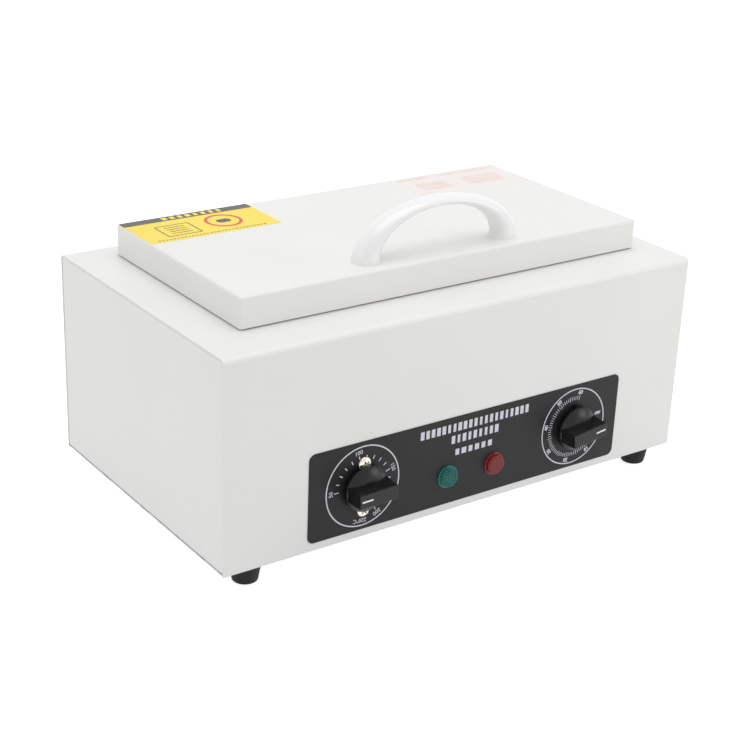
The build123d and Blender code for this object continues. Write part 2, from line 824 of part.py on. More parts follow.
# Lamps: a coloured lens clipped through the panel, with a lamp holder behind it
def lamp_lens(x):
    with BuildPart() as lens:
        with BuildSketch(fascia_plane):
            with Locations((x, z_lamp)):
                Circle(lamp_flange_radius)
        extrude(amount=lamp_flange)
        fillet(seat(fascia_plane, lamp_flange)(lens), lamp_flange / 3)
        with BuildSketch(fascia_plane):
            with Locations((x, z_lamp)):
                Circle(lamp_lens_radius)
        extrude(amount=lamp_proud)
        fillet(seat(fascia_plane, lamp_proud)(lens), lamp_flange / 2)
        with BuildSketch(fascia_plane):
            with Locations((x, z_lamp)):
                Circle(lamp_neck_radius)
        extrude(amount=-(fascia_thickness + sheet + lamp_neck))
    return lens


def lamp_holder(x):
    with BuildPart() as holder:
        with BuildSketch(inside_front):
            with Locations((x, z_lamp)):
                RegularPolygon(lamp_nut_radius, 6)
        extrude(amount=-lamp_nut)
        with BuildSketch(inside_front.offset(-lamp_nut)):
            with Locations((x, z_lamp)):
                Circle(lamp_barrel_radius)
        extrude(amount=-lamp_barrel)
        with BuildSketch(inside_front):
            with Locations((x, z_lamp)):
                Circle(lamp_neck_radius + screw_clearance)
        extrude(amount=-(lamp_neck + screw_clearance), mode=Mode.SUBTRACT)
        with BuildSketch(inside_front.offset(-(lamp_nut + lamp_barrel))):
            with Locations((x, z_lamp)):
                with GridLocations(lamp_barrel_radius, 0, 2, 1):
                    Rectangle(blade_thickness, blade_width / 2)
        extrude(amount=-blade_length)
    return holder


for name, x in (("heating_lamp", heating_lamp_x), ("power_lamp", power_lamp_x)):
    save(lamp_lens(x), f"{name}_lens")
    save(lamp_holder(x), f"{name}_holder")

# Mains inlet: moulded socket with three blade pins, screwed on from outside
inlet_spot = (-inlet_x, z_inlet)
inlet_face = back_plane.offset(inlet_flange)
with BuildPart() as power_inlet:
    with BuildSketch(back_plane):
        with Locations(inlet_spot):
            RectangleRounded(inlet_flange_width, inlet_flange_height, inlet_flange_corner)
    extrude(amount=inlet_flange)
    with BuildSketch(back_plane):
        with Locations(inlet_spot):
            Rectangle(inlet_body_width, inlet_body_height)
    extrude(amount=-inlet_body_depth)
    with BuildSketch(inlet_face) as socket_outline:
        with Locations(inlet_spot):
            Rectangle(inlet_socket_width, inlet_socket_height)
        chamfer(socket_outline.vertices().group_by(Axis.Y)[-1], inlet_socket_corner)
    extrude(amount=-inlet_socket_depth, mode=Mode.SUBTRACT)
    with Locations(inlet_face):
        with Locations(inlet_spot):
            with GridLocations(inlet_screw_spacing, 0, 2, 1):
                CounterSinkHole(bore_m3, csk_head_radius)
save(power_inlet, "power_inlet")

with BuildPart() as inlet_pins:
    with BuildSketch(inlet_face.offset(-inlet_socket_depth)):
        with Locations((-inlet_x, z_inlet - inlet_earth_rise / 2)):
            with GridLocations(inlet_pin_pitch, 0, 2, 1):
                Rectangle(inlet_pin_thickness, inlet_pin_width)
        with Locations((-inlet_x, z_inlet + inlet_earth_rise / 2)):
            Rectangle(inlet_pin_thickness, inlet_pin_width)
    extrude(amount=inlet_socket_depth - inlet_pin_set_back)
save(inlet_pins, "inlet_pins")

inlet_screws = flush_screws(
    inlet_face,
    [(-inlet_x + side * inlet_screw_spacing / 2, z_inlet) for side in (-1, 1)],
    m3_radius,
    m3_length,
)
save(inlet_screws, "inlet_screws")

# Over-temperature cut-out under the shield, on two screws
z_shield_under = z_shield_floor - shield_sheet
with BuildPart() as thermal_cutout:
    with BuildSketch(Plane.XY.offset(z_shield_under)):
        with Locations((lid_x + cutout_x, cutout_y)):
            SlotOverall(cutout_ear_pitch + 4 * m3_radius, cutout_ear_width)
            with GridLocations(cutout_ear_pitch, 0, 2, 1):
                Circle(bore_m3, mode=Mode.SUBTRACT)
    extrude(amount=-blade_thickness)
    with BuildSketch(Plane.XY.offset(z_shield_under)):
        with Locations((lid_x + cutout_x, cutout_y)):
            Circle(cutout_radius)
    extrude(amount=-cutout_height)
    with BuildSketch(Plane.XY.offset(z_shield_under - cutout_height)):
        with Locations((lid_x + cutout_x, cutout_y)):
            with GridLocations(cutout_radius, 0, 2, 1):
                Rectangle(blade_thickness, blade_width)
    extrude(amount=-blade_length)
save(thermal_cutout, "thermal_cutout")

cutout_screw_plane = Plane(origin=(0, 0, z_shield_under - blade_thickness), x_dir=(1, 0, 0), z_dir=(0, 0, -1))
cutout_screws = pan_screws(
    cutout_screw_plane,
    [(lid_x + cutout_x + side * cutout_ear_pitch / 2, -cutout_y) for side in (-1, 1)],
    m3_radius,
    cutout_screw_length,
    m3_head_radius,
    m3_head,
)
save(cutout_screws, "cutout_screws")

# Ceramic terminal block on the base plate
z_floor = z_under + sheet
with BuildPart() as terminal_block:
    with BuildSketch(Plane.XY.offset(z_floor)):
        with Locations((block_x, block_y)):
            RectangleRounded(block_width, block_depth, block_corner)
            with GridLocations(block_width - 2 * m3_head_radius, 0, 2, 1):
                Circle(bore_m3, mode=Mode.SUBTRACT)
    extrude(amount=block_height)
    with BuildSketch(Plane.XY.offset(z_floor + block_height)):
        with Locations((block_x, block_y)):
            with GridLocations((block_width - 4 * m3_head_radius) / block_ways, 0, block_ways, 1):
                Circle(m3_head_radius)
    extrude(amount=-block_height / 2, mode=Mode.SUBTRACT)
save(terminal_block, "terminal_block")

terminal_screws = pan_screws(
    Plane.XY.offset(z_floor + block_height),
    [(block_x + side * (block_width / 2 - m3_head_radius), block_y) for side in (-1, 1)],
    m3_radius,
    block_height + sheet + block_screw_tail,
    m3_head_radius,
    m3_head,
)
save(terminal_screws, "terminal_screws")

# Instrument tray: perforated stainless pan that stands on the chamber floor
z_tray = z_tub_floor + tray_lift
with BuildPart() as instrument_tray:
    with BuildSketch(Plane.XY.offset(z_tray)):
        with Locations((lid_x, lid_y)):
            RectangleRounded(tray_width, tray_depth, tray_corner)
    extrude(amount=tray_height)
    fillet(instrument_tray.edges().group_by(Axis.Z)[0], 2 * tray_sheet)
    offset(amount=-tray_sheet, openings=instrument_tray.faces().sort_by(Axis.Z)[-1])
    with BuildSketch(Plane.XY.offset(z_tray + tray_height)):
        with Locations((lid_x, lid_y)):
            RectangleRounded(tray_width + 2 * tray_rim, tray_depth + 2 * tray_rim, tray_corner + tray_rim)
            RectangleRounded(
                tray_width - 2 * tray_sheet,
                tray_depth - 2 * tray_sheet,
                tray_corner - tray_sheet,
                mode=Mode.SUBTRACT,
            )
    extrude(amount=-tray_sheet)
    with BuildSketch(Plane.XY.offset(z_tray)):
        with Locations((lid_x, lid_y)):
            with GridLocations(tray_hole_pitch, tray_hole_pitch, tray_columns, tray_rows):
                Circle(tray_hole_radius)
    extrude(amount=tray_sheet, mode=Mode.SUBTRACT)
save(instrument_tray, "instrument_tray")

# Lid: folded steel box, open below, white powder coated
z_skirt = z_top + lid_gap
with BuildPart() as lid_shell:
    with BuildSketch(Plane.XY.offset(z_skirt)):
        with Locations((lid_x, lid_y)):
            Rectangle(lid_width, lid_depth)
    extrude(amount=lid_height)
    fillet(lid_shell.edges().filter_by(Axis.Z), lid_edge)
    fillet(lid_shell.edges().group_by(Axis.Z)[-1], lid_edge)
    offset(amount=-sheet, openings=lid_shell.faces().sort_by(Axis.Z)[0])
    with BuildSketch(Plane.XY.offset(z_lid)):
        with Locations(*handle_spots):
            Circle(bore_m4)
    extrude(amount=-sheet, mode=Mode.SUBTRACT)
    with BuildSketch(Plane.XZ.offset(-lid_back)):
        with Locations(*[(x, hinge_lid_screw_z) for x in hinge_screw_xs]):
            Circle(bore_m3)
    extrude(amount=sheet, mode=Mode.SUBTRACT)
save(lid_shell, "lid_shell")

# Lid pan: stainless liner that closes the lid from below and lies just over the chamber rim
z_pan = z_rim + wool_clearance
with BuildPart() as lid_pan:
    with BuildSketch(Plane.XY.offset(z_pan)):
        with Locations((lid_x, lid_y)):
            RectangleRounded(lid_width - 2 * sheet, lid_depth - 2 * sheet, lid_edge - sheet)
    extrude(amount=pan_flange)
    offset(amount=-pan_sheet, openings=lid_pan.faces().sort_by(Axis.Z)[-1])
save(lid_pan, "lid_pan")

with BuildPart() as lid_insulation:
    with BuildSketch(Plane.XY.offset(z_pan + pan_sheet)):
        with Locations((lid_x, lid_y)):
            RectangleRounded(
                lid_width - 2 * (sheet + lid_wool_inset),
                lid_depth - 2 * (sheet + lid_wool_inset),
                lid_wool_corner,
            )
        with Locations(*handle_spots):
            Circle(m4_head_radius + handle_screw_space, mode=Mode.SUBTRACT)
    extrude(amount=z_lid - sheet - z_pan - pan_sheet)
save(lid_insulation, "lid_insulation")

# Handle: moulded white arch, thick round feet drawn out to a slim flat crown
with BuildPart() as handle:
    for i in range(handle_sections):
        turn = pi * i / (handle_sections - 1)
        rise = sin(turn)
        width = handle_foot_width + (handle_crown_width - handle_foot_width) * rise
        thickness = handle_foot_thickness + (handle_crown_thickness - handle_foot_thickness) * rise
        centre = (handle_x - handle_spacing / 2 * cos(turn), handle_y, z_lid + handle_rise * rise)
        along = (handle_spacing / 2 * rise, 0, handle_rise * cos(turn))
        with BuildSketch(Plane(origin=centre, x_dir=(0, 1, 0), z_dir=along)):
            Ellipse(width / 2, thickness / 2)
    loft()
    with BuildSketch(Plane.XY.offset(z_lid)):
        with Locations(*handle_spots):
            Circle(bore_m4)
    extrude(amount=handle_bore_depth, mode=Mode.SUBTRACT)
save(handle, "handle")

handle_screw_plane = Plane(origin=(0, 0, z_lid - sheet), x_dir=(1, 0, 0), z_dir=(0, 0, -1))
handle_screws = pan_screws(
    handle_screw_plane,
    [(x, -y) for x, y in handle_spots],
    m4_radius,
    sheet + handle_screw_grip,
    m4_head_radius,
    m4_head,
)
save(handle_screws, "handle_screws")

# Lid hinges: steel butt hinges, one leaf on the case top and one on the back of the lid
knuckle = hinge_width / 3
knuckle_relief = hinge_knuckle_radius + hinge_joint_gap
hinge_bore = hinge_pin_radius + shaft_running_gap
leaf_gap = hinge_joint_gap / 2


def hinge_case_leaf(x):
    with BuildPart() as leaf:
        with BuildSketch(Plane.XY.offset(z_top)):
            with Locations((x, hinge_y + hinge_leaf_reach / 2)):
                Rectangle(hinge_width, hinge_leaf_reach)
            with Locations((x, hinge_y + knuckle_relief / 2)):
                Rectangle(knuckle + 2 * leaf_gap, knuckle_relief, mode=Mode.SUBTRACT)
        extrude(amount=hinge_leaf)
        for side in (-1, 1):
            with BuildSketch(Plane.YZ.offset(x + side * knuckle)):
                with Locations((hinge_y, hinge_z)):
                    Circle(hinge_knuckle_radius)
            extrude(amount=knuckle / 2 - leaf_gap, both=True)
        with BuildSketch(Plane.YZ.offset(x)):
            with Locations((hinge_y, hinge_z)):
                Circle(hinge_bore)
        extrude(amount=hinge_width / 2, both=True, mode=Mode.SUBTRACT)
        with Locations(Plane.XY.offset(z_top + hinge_leaf)):
            with Locations((x, hinge_case_screw_y)):
                with GridLocations(hinge_screw_pitch, 0, 2, 1):
                    CounterSinkHole(bore_m3, csk_head_radius)
    return leaf


def hinge_lid_leaf(x):
    lid_seat = Plane(origin=(x, lid_back, 0), x_dir=(-1, 0, 0), z_dir=(0, 1, 0))
    with BuildPart() as leaf:
        with BuildSketch(lid_seat):
            with Locations((0, hinge_z + hinge_leaf_reach / 2)):
                Rectangle(hinge_width, hinge_leaf_reach)
            for side in (-1, 1):
                with Locations((side * knuckle, hinge_z + knuckle_relief / 2)):
                    Rectangle(knuckle + 2 * leaf_gap, knuckle_relief, mode=Mode.SUBTRACT)
        extrude(amount=hinge_leaf)
        with BuildSketch(Plane.YZ.offset(x)):
            with Locations((hinge_y, hinge_z)):
                Circle(hinge_knuckle_radius)
        extrude(amount=knuckle / 2 - leaf_gap, both=True)
        with BuildSketch(Plane.YZ.offset(x)):
            with Locations((hinge_y, hinge_z)):
                Circle(hinge_bore)
        extrude(amount=hinge_width / 2, both=True, mode=Mode.SUBTRACT)
        with Locations(lid_seat.offset(hinge_leaf)):
            with Locations((0, hinge_lid_screw_z)):
                with GridLocations(hinge_screw_pitch, 0, 2, 1):
                    CounterSinkHole(bore_m3, csk_head_radius)
    return leaf


def hinge_pin(x):
    with BuildPart() as pin:
        with BuildSketch(Plane.YZ.offset(x)):
            with Locations((hinge_y, hinge_z)):
                Circle(hinge_pin_radius)
        extrude(amount=hinge_width / 2, both=True)
    return pin


for x, word in zip(hinge_xs, ("left", "right")):
    save(hinge_case_leaf(x), f"hinge_case_leaf_{word}")
    save(hinge_lid_leaf(x), f"hinge_lid_leaf_{word}")
    save(hinge_pin(x), f"hinge_pin_{word}")

hinge_case_screws = flush_screws(
    Plane.XY.offset(z_top + hinge_leaf),
    [(x, hinge_case_screw_y) for x in hinge_screw_xs],
    m3_radius,
    hinge_case_screw_length,
)
save(hinge_case_screws, "hinge_case_screws")

lid_leaf_face = Plane(origin=(0, lid_back + hinge_leaf, 0), x_dir=(-1, 0, 0), z_dir=(0, 1, 0))
hinge_lid_screws = flush_screws(
    lid_leaf_face, [(-x, hinge_lid_screw_z) for x in hinge_screw_xs], m3_radius, hinge_lid_screw_length
)
save(hinge_lid_screws, "hinge_lid_screws")
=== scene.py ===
import json
import math
import bmesh
import bpy
from mathutils import Matrix, Vector


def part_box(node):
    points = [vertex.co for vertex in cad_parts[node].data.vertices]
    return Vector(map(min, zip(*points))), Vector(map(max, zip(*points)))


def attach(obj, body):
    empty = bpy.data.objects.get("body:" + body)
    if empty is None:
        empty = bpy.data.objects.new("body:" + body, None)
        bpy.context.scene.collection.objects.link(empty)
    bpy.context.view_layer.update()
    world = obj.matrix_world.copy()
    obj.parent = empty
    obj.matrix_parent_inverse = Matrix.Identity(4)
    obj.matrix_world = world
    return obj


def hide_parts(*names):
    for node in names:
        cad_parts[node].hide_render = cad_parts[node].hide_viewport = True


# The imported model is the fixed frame: metres, front towards -Y, the bench at z = 0.
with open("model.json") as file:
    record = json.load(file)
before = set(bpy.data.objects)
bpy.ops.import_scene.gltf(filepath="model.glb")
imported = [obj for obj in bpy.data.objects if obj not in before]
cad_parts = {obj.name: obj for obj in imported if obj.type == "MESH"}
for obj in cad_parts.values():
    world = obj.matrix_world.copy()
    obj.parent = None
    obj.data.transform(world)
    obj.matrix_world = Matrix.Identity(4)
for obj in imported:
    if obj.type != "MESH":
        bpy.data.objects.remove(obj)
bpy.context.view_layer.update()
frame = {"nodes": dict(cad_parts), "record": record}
nodes = frame["nodes"]
bodies = frame["record"]["behaviour"]["bodies"]
body_of = {node: body for body, names in bodies.items() for node in names}
mm = 0.001

# Case wrapper and side panels: 0.9 mm sheet steel, folded over the front, the top and the back, with
# shallow side pans spot-welded inside it. All of it is coated with white powder, which melts to a
# faint orange peel.


def put(tree, kind, inputs, **settings):
    """Adds a node, sets it up, and links or sets each input that is named."""
    node = tree.nodes.new(kind)
    for key, value in settings.items():
        setattr(node, key, value)
    for key, value in inputs.items():
        if isinstance(value, bpy.types.NodeSocket):
            tree.links.new(value, node.inputs[key])
        else:
            node.inputs[key].default_value = value
    return node


def finish(name, light, dark, patch, rough, grain, relief, along=(1, 1, 1), fine=3.0, **numbers):
    """A surface whose colour drifts in patches, whose gloss is uneven and whose grain stands up a little.
    patch and grain are blobs per metre, and relief is the grain's height in metres."""
    material = bpy.data.materials.new(name)
    material.use_nodes = True
    tree = material.node_tree
    shader = tree.nodes["Principled BSDF"]
    for socket, number in numbers.items():
        shader.inputs[socket.replace("_", " ")].default_value = number
    place = put(tree, "ShaderNodeTexCoord", {}).outputs["Object"]
    drift = put(tree, "ShaderNodeTexNoise", {"Vector": place, "Scale": patch, "Detail": 3.0})
    shade = put(tree, "ShaderNodeValToRGB", {"Fac": drift.outputs["Fac"]})
    shade.color_ramp.elements[0].color = (*dark, 1)
    shade.color_ramp.elements[1].color = (*light, 1)
    shade.color_ramp.elements[0].position = 0.3
    shade.color_ramp.elements[1].position = 0.7
    tree.links.new(shade.outputs["Color"], shader.inputs["Base Color"])
    drawn = put(tree, "ShaderNodeMapping", {"Vector": place, "Scale": along})
    woven = {"Vector": drawn.outputs["Vector"], "Scale": grain, "Detail": fine}
    texture = put(tree, "ShaderNodeTexNoise", woven)
    uneven = put(
        tree,
        "ShaderNodeMapRange",
        {"Value": texture.outputs["Fac"], "From Min": 0.3, "From Max": 0.7, "To Min": rough[0], "To Max": rough[1]},
    )
    tree.links.new(uneven.outputs["Result"], shader.inputs["Roughness"])
    bump = put(tree, "ShaderNodeBump", {"Height": texture.outputs["Fac"], "Distance": relief})
    tree.links.new(bump.outputs["Normal"], shader.inputs["Normal"])
    return material


def dress(material, *names):
    """Gives CAD nodes their finish."""
    for name in names:
        for slot in nodes[name].material_slots:
            slot.material = material


powder_coat = finish(
    "white_powder_coat",
    light=(0.835, 0.832, 0.808),
    dark=(0.815, 0.812, 0.788),
    patch=14,
    rough=(0.36, 0.44),
    grain=620,
    relief=0.02 * mm,
)
dress(powder_coat, "case_wrapper", "side_panel_left", "side_panel_right")

# Base plate: galvanised steel, punched with vent slots and screwed up into the side pans' flanges.
# The zinc shows its spangle, grains of slightly different grey and gloss.


def spangled(name, light, dark, size, rough):
    """Zinc coating: a finish whose patches are broken up into crystal grains."""
    material = finish(name, light, dark, 30, rough, 900, 0.01 * mm, Metallic=1.0)
    tree = material.node_tree
    place = tree.nodes["Texture Coordinate"].outputs["Object"]
    crystals = put(tree, "ShaderNodeTexVoronoi", {"Vector": place, "Scale": 1 / size})
    shade = tree.nodes["Color Ramp"]
    tree.links.new(crystals.outputs["Color"], shade.inputs["Fac"])
    return material


galvanised = spangled("galvanised", (0.62, 0.64, 0.66), (0.50, 0.52, 0.54), 9 * mm, (0.34, 0.52))
dress(galvanised, "base_plate", "heat_shield", "thermostat_plate", "timer_plate")

# Feet: turned-looking cones of black moulded rubber, held from below by a screw in a recess.
# The rubber is matt, with a faint bloom.
rubber = finish(
    "foot_rubber",
    light=(0.018, 0.018, 0.019),
    dark=(0.009, 0.009, 0.010),
    patch=160,
    rough=(0.55, 0.75),
    grain=1500,
    relief=0.03 * mm,
    Specular_IOR_Level=0.25,
)
dress(rubber, "foot_front_left", "foot_rear_left", "foot_front_right", "foot_rear_right")

# Screws: nickel-plated steel, pan heads with a cross recess where they show, and flush heads in the
# hinges and the inlet. The timer's two are smaller and plated black. Each one stopped at its own
# angle when it was driven home.


def sized_tree(name, sizes):
    """A geometry tree with a named input for each size, for the material, and for what it starts from."""
    tree = bpy.data.node_groups.new(name, "GeometryNodeTree")
    tree.interface.new_socket(name="Geometry", in_out="OUTPUT", socket_type="NodeSocketGeometry")
    tree.interface.new_socket(name="Geometry", in_out="INPUT", socket_type="NodeSocketGeometry")
    for size, kind in sizes.items():
        tree.interface.new_socket(name=size, in_out="INPUT", socket_type="NodeSocket" + kind)
    tree.interface.new_socket(name="Material", in_out="INPUT", socket_type="NodeSocketMaterial")
    return tree, put(tree, "NodeGroupInput", {}).outputs


def close_tree(tree, sockets, shape, smooth=True):
    """Ends a tree: real geometry in place of instances, shaded smooth, with its material."""
    real = put(tree, "GeometryNodeRealizeInstances", {"Geometry": shape}).outputs[0]
    shaded = put(tree, "GeometryNodeSetShadeSmooth", {"Geometry": real, "Shade Smooth": smooth}).outputs[0]
    painted = put(tree, "GeometryNodeSetMaterial", {"Geometry": shaded, "Material": sockets["Material"]})
    put(tree, "NodeGroupOutput", {"Geometry": painted.outputs[0]})


def joined(tree, *shapes):
    node = put(tree, "GeometryNodeJoinGeometry", {})
    for shape in shapes:
        tree.links.new(shape, node.inputs[0])
    return node.outputs[0]


def worked(tree, operation, *values):
    """One step of arithmetic on numbers or sockets."""
    return put(tree, "ShaderNodeMath", dict(enumerate(values)), operation=operation).outputs[0]


def button(tree, radius, height, squareness, segments):
    """A round button that stands on z = 0: flat below, its top rounded over. A low squareness
    makes a sharp edge."""
    ball = {"Segments": segments, "Rings": 24, "Radius": 1.0}
    ball = put(tree, "GeometryNodeMeshUVSphere", ball).outputs["Mesh"]
    spot = put(tree, "ShaderNodeSeparateXYZ", {0: put(tree, "GeometryNodeInputPosition", {}).outputs[0]}).outputs
    rise = worked(tree, "POWER", worked(tree, "MAXIMUM", spot["Z"], 0.0), squareness)
    moved = put(
        tree,
        "ShaderNodeCombineXYZ",
        {
            "X": worked(tree, "MULTIPLY", spot["X"], radius),
            "Y": worked(tree, "MULTIPLY", spot["Y"], radius),
            "Z": worked(tree, "MULTIPLY", rise, height),
        },
    )
    return put(tree, "GeometryNodeSetPosition", {"Geometry": ball, "Position": moved.outputs[0]}).outputs[0]


def turned(tree, shape, translation=(0, 0, 0), rotation=(0, 0, 0), scale=(1, 1, 1)):
    """Moves, turns or scales geometry inside a tree."""
    values = {"Geometry": shape, "Translation": translation, "Rotation": rotation, "Scale": scale}
    return put(tree, "GeometryNodeTransform", values).outputs[0]


def vector(tree, x, y, z):
    return put(tree, "ShaderNodeCombineXYZ", {"X": x, "Y": y, "Z": z}).outputs[0]


def screw_tree(name, flush):
    """Screws on the starting points: a head with a cross recess, and a shank that goes in behind it."""
    sizes = {
        "Head Radius": "Float",
        "Head Height": "Float",
        "Shank Radius": "Float",
        "Shank Length": "Float",
        "Recess Width": "Float",
        "Facing": "Vector",
        "Seed": "Int",
    }
    tree, size = sized_tree(name, sizes)
    radius, height = size["Head Radius"], size["Head Height"]
    if flush:
        cone = {
            "Vertices": 40,
            "Radius Top": radius,
            "Radius Bottom": size["Shank Radius"],
            "Depth": height,
        }
        blank = put(tree, "GeometryNodeMeshCone", cone).outputs["Mesh"]
        blank = turned(tree, blank, vector(tree, 0.0, 0.0, worked(tree, "MULTIPLY", height, -1.0)))
        top, under = 0.0, worked(tree, "MULTIPLY", height, -0.9)
    else:
        blank = button(tree, radius, height, 0.45, 40)
        top, under = height, worked(tree, "MULTIPLY", height, 0.2)
    reach = worked(tree, "MULTIPLY", radius, 1.15)
    deep = worked(tree, "MULTIPLY", height, 1.1)
    slot = {"Size": vector(tree, reach, size["Recess Width"], deep)}
    slot = put(tree, "GeometryNodeMeshCube", slot).outputs["Mesh"]
    slot = turned(tree, slot, vector(tree, 0.0, 0.0, top))
    across = turned(tree, slot, rotation=(0, 0, math.pi / 2))
    head = put(tree, "GeometryNodeMeshBoolean", {"Mesh 1": blank}, operation="DIFFERENCE")
    tree.links.new(slot, head.inputs["Mesh 2"])
    tree.links.new(across, head.inputs["Mesh 2"])
    length = worked(tree, "ADD", size["Shank Length"], under)
    rod = {"Vertices": 24, "Radius": size["Shank Radius"], "Depth": length}
    shank = put(tree, "GeometryNodeMeshCylinder", rod).outputs["Mesh"]
    middle = worked(tree, "SUBTRACT", under, worked(tree, "DIVIDE", length, 2.0))
    shank = turned(tree, shank, vector(tree, 0.0, 0.0, middle))
    screw = joined(tree, head.outputs["Mesh"], shank)
    angle = put(tree, "FunctionNodeRandomValue", {"Seed": size["Seed"]}, data_type="FLOAT")
    angle.inputs[2].default_value, angle.inputs[3].default_value = 0.0, math.pi
    facing = {"Rotation": size["Facing"]}
    spin = put(tree, "FunctionNodeRotateEuler", facing, rotation_type="AXIS_ANGLE", space="LOCAL")
    spin.inputs["Axis"].default_value = (0, 0, 1)
    tree.links.new(angle.outputs[1], spin.inputs["Angle"])
    placed = {"Points": size["Geometry"], "Instance": screw, "Rotation": spin.outputs[0]}
    close_tree(tree, size, put(tree, "GeometryNodeInstanceOnPoints", placed).outputs[0], smooth=False)
    return tree


def grow(name, tree, sizes, material, spots=((0, 0, 0),)):
    """Runs a tree on bare points and keeps what it makes as a plain mesh."""
    start = bpy.data.meshes.new(name)
    start.from_pydata([Vector(spot) for spot in spots], [], [])
    piece = bpy.data.objects.new(name, start)
    bpy.context.scene.collection.objects.link(piece)
    modifier = piece.modifiers.new("shape", "NODES")
    modifier.node_group = tree
    values = {**sizes, "Material": material}
    for item in tree.interface.items_tree:
        if item.in_out == "INPUT" and item.name in values:
            modifier[item.identifier] = values[item.name]
    made = piece.evaluated_get(bpy.context.evaluated_depsgraph_get())
    plain = bpy.data.meshes.new_from_object(made)
    piece.modifiers.clear()
    piece.data = plain
    return piece


def soften(piece, angle=35):
    """Smooth shading that stops at the piece's real edges."""
    for face in piece.data.polygons:
        face.use_smooth = True
    piece.data.set_sharp_from_angle(angle=math.radians(angle))
    return piece


nickel = finish(
    "nickel_plate",
    light=(0.78, 0.75, 0.70),
    dark=(0.66, 0.63, 0.58),
    patch=300,
    rough=(0.16, 0.30),
    grain=2500,
    relief=0.01 * mm,
    Metallic=1.0,
)
black_zinc = finish(
    "black_zinc_plate",
    light=(0.050, 0.052, 0.050),
    dark=(0.030, 0.031, 0.030),
    patch=300,
    rough=(0.24, 0.36),
    grain=2500,
    relief=0.01 * mm,
    Metallic=0.8,
)
pan_screw, flush_screw = screw_tree("pan screw", False), screw_tree("flush screw", True)
facings = {
    "down": (math.pi, 0, 0),
    "front": (math.pi / 2, 0, 0),
    "back": (-math.pi / 2, 0, 0),
    "up": (0, 0, 0),
}


def drive(node, facing, columns, rows, head, height, shank, seed, tree=pan_screw, plating=nickel):
    """Replaces a CAD node of screws: their spots are worked out from the node's own box."""
    low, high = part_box(node)
    if facing in ("down", "up"):
        base = low.z + height if facing == "down" else high.z - height
        length = high.z - low.z - height
        other, first, last = 1, low.y + head, high.y - head
    else:
        base = low.y + height if facing == "front" else high.y - height
        length = high.y - low.y - height
        other, first, last = 2, low.z + head, high.z - head
    if tree is flush_screw:
        base += {"down": -height, "up": height, "front": -height, "back": height}[facing]
    if isinstance(columns, list):
        xs = columns
    else:
        spread = high.x - low.x - 2 * head
        xs = [low.x + head + spread * column / max(columns - 1, 1) for column in range(columns)]
    spots = []
    for x in xs:
        for row in range(rows):
            along = (first + last) / 2 if rows == 1 else first + (last - first) * row / (rows - 1)
            spots.append((x, along, base) if other == 1 else (x, base, along))
    sizes = {
        "Head Radius": head,
        "Head Height": height,
        "Shank Radius": shank,
        "Shank Length": length,
        "Recess Width": head * 0.26,
        "Facing": facings[facing],
        "Seed": seed,
    }
    piece = soften(grow(node + "_driven", tree, sizes, plating, spots))
    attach(piece, body_of[node])
    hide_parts(node)


m3_head, m3_height, m3 = 2.8 * mm, 1.8 * mm, 1.5 * mm
m4_head, m4_height, m4 = 4.0 * mm, 2.4 * mm, 2.0 * mm
drive("base_screws", "down", 2, 3, m3_head, m3_height, m3, 11)
drive("foot_screws", "down", 2, 2, m4_head, m4_height, m4, 12)
drive("thermostat_screws", "front", 1, 2, m4_head, m4_height, m4, 13)
drive("timer_screws", "front", 1, 2, m3_head, m3_height, m3, 20, plating=black_zinc)
drive("cutout_screws", "down", 2, 1, m3_head, m3_height, m3, 14)
drive("terminal_screws", "up", 2, 1, m3_head, m3_height, m3, 15)
drive("handle_screws", "down", 2, 1, m4_head, m4_height, m4, 16)

# Chamber: a tub drawn from thin stainless sheet, its rim lying on the case top round the opening.
# Inside it stands a lift-out tray with a perforated floor. Both keep the fine lines of the rolled sheet.
stainless = finish(
    "drawn_stainless",
    light=(0.66, 0.65, 0.62),
    dark=(0.58, 0.57, 0.55),
    patch=25,
    rough=(0.24, 0.40),
    grain=1800,
    relief=0.006 * mm,
    along=(0.04, 1, 1),
    Metallic=1.0,
)
dress(stainless, "chamber_tub", "instrument_tray")

# Heater: a steel-sheathed element bent to and fro under the chamber, held up by two clamp strips on
# welded studs. The sheath is oxidised dark, and straw-coloured in places from the heat.
sheath = finish(
    "oxidised_sheath",
    light=(0.20, 0.16, 0.11),
    dark=(0.07, 0.065, 0.07),
    patch=45,
    rough=(0.42, 0.62),
    grain=1400,
    relief=0.02 * mm,
    Metallic=0.8,
)
dress(sheath, "heating_element")
dress(stainless, "element_clamps", "tub_studs")
dress(nickel, "clamp_nuts")

# Insulation: mineral wool, a slab under the chamber and a wrap round it, and a pad in the lid.
# Its fibres lie in layers, so it looks combed along the sheet.
wool = finish(
    "mineral_wool",
    light=(0.72, 0.66, 0.50),
    dark=(0.55, 0.49, 0.34),
    patch=60,
    rough=(0.85, 1.0),
    grain=420,
    relief=0.8 * mm,
    along=(1, 1, 4),
    fine=8.0,
    Sheen_Weight=0.2,
)
dress(wool, "insulation_floor", "insulation_wrap", "lid_insulation")

# Control panel: a dark grey printed film stuck to the case front, slightly velvety, with its scales,
# rings and marks screened in a silvery lilac ink.
film = finish(
    "panel_film",
    light=(0.018, 0.018, 0.0185),
    dark=(0.015, 0.015, 0.0155),
    patch=30,
    rough=(0.40, 0.48),
    grain=2400,
    relief=0.012 * mm,
    Specular_IOR_Level=0.22,
)
dress(film, "control_panel")
ink = finish(
    "silver_ink",
    light=(0.72, 0.70, 0.78),
    dark=(0.62, 0.60, 0.68),
    patch=500,
    rough=(0.35, 0.5),
    grain=3000,
    relief=0.004 * mm,
)
panel_low, panel_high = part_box("control_panel")
ink_height = 0.05 * mm
ring_radius, ring_line = 23.85 * mm, 0.75 * mm


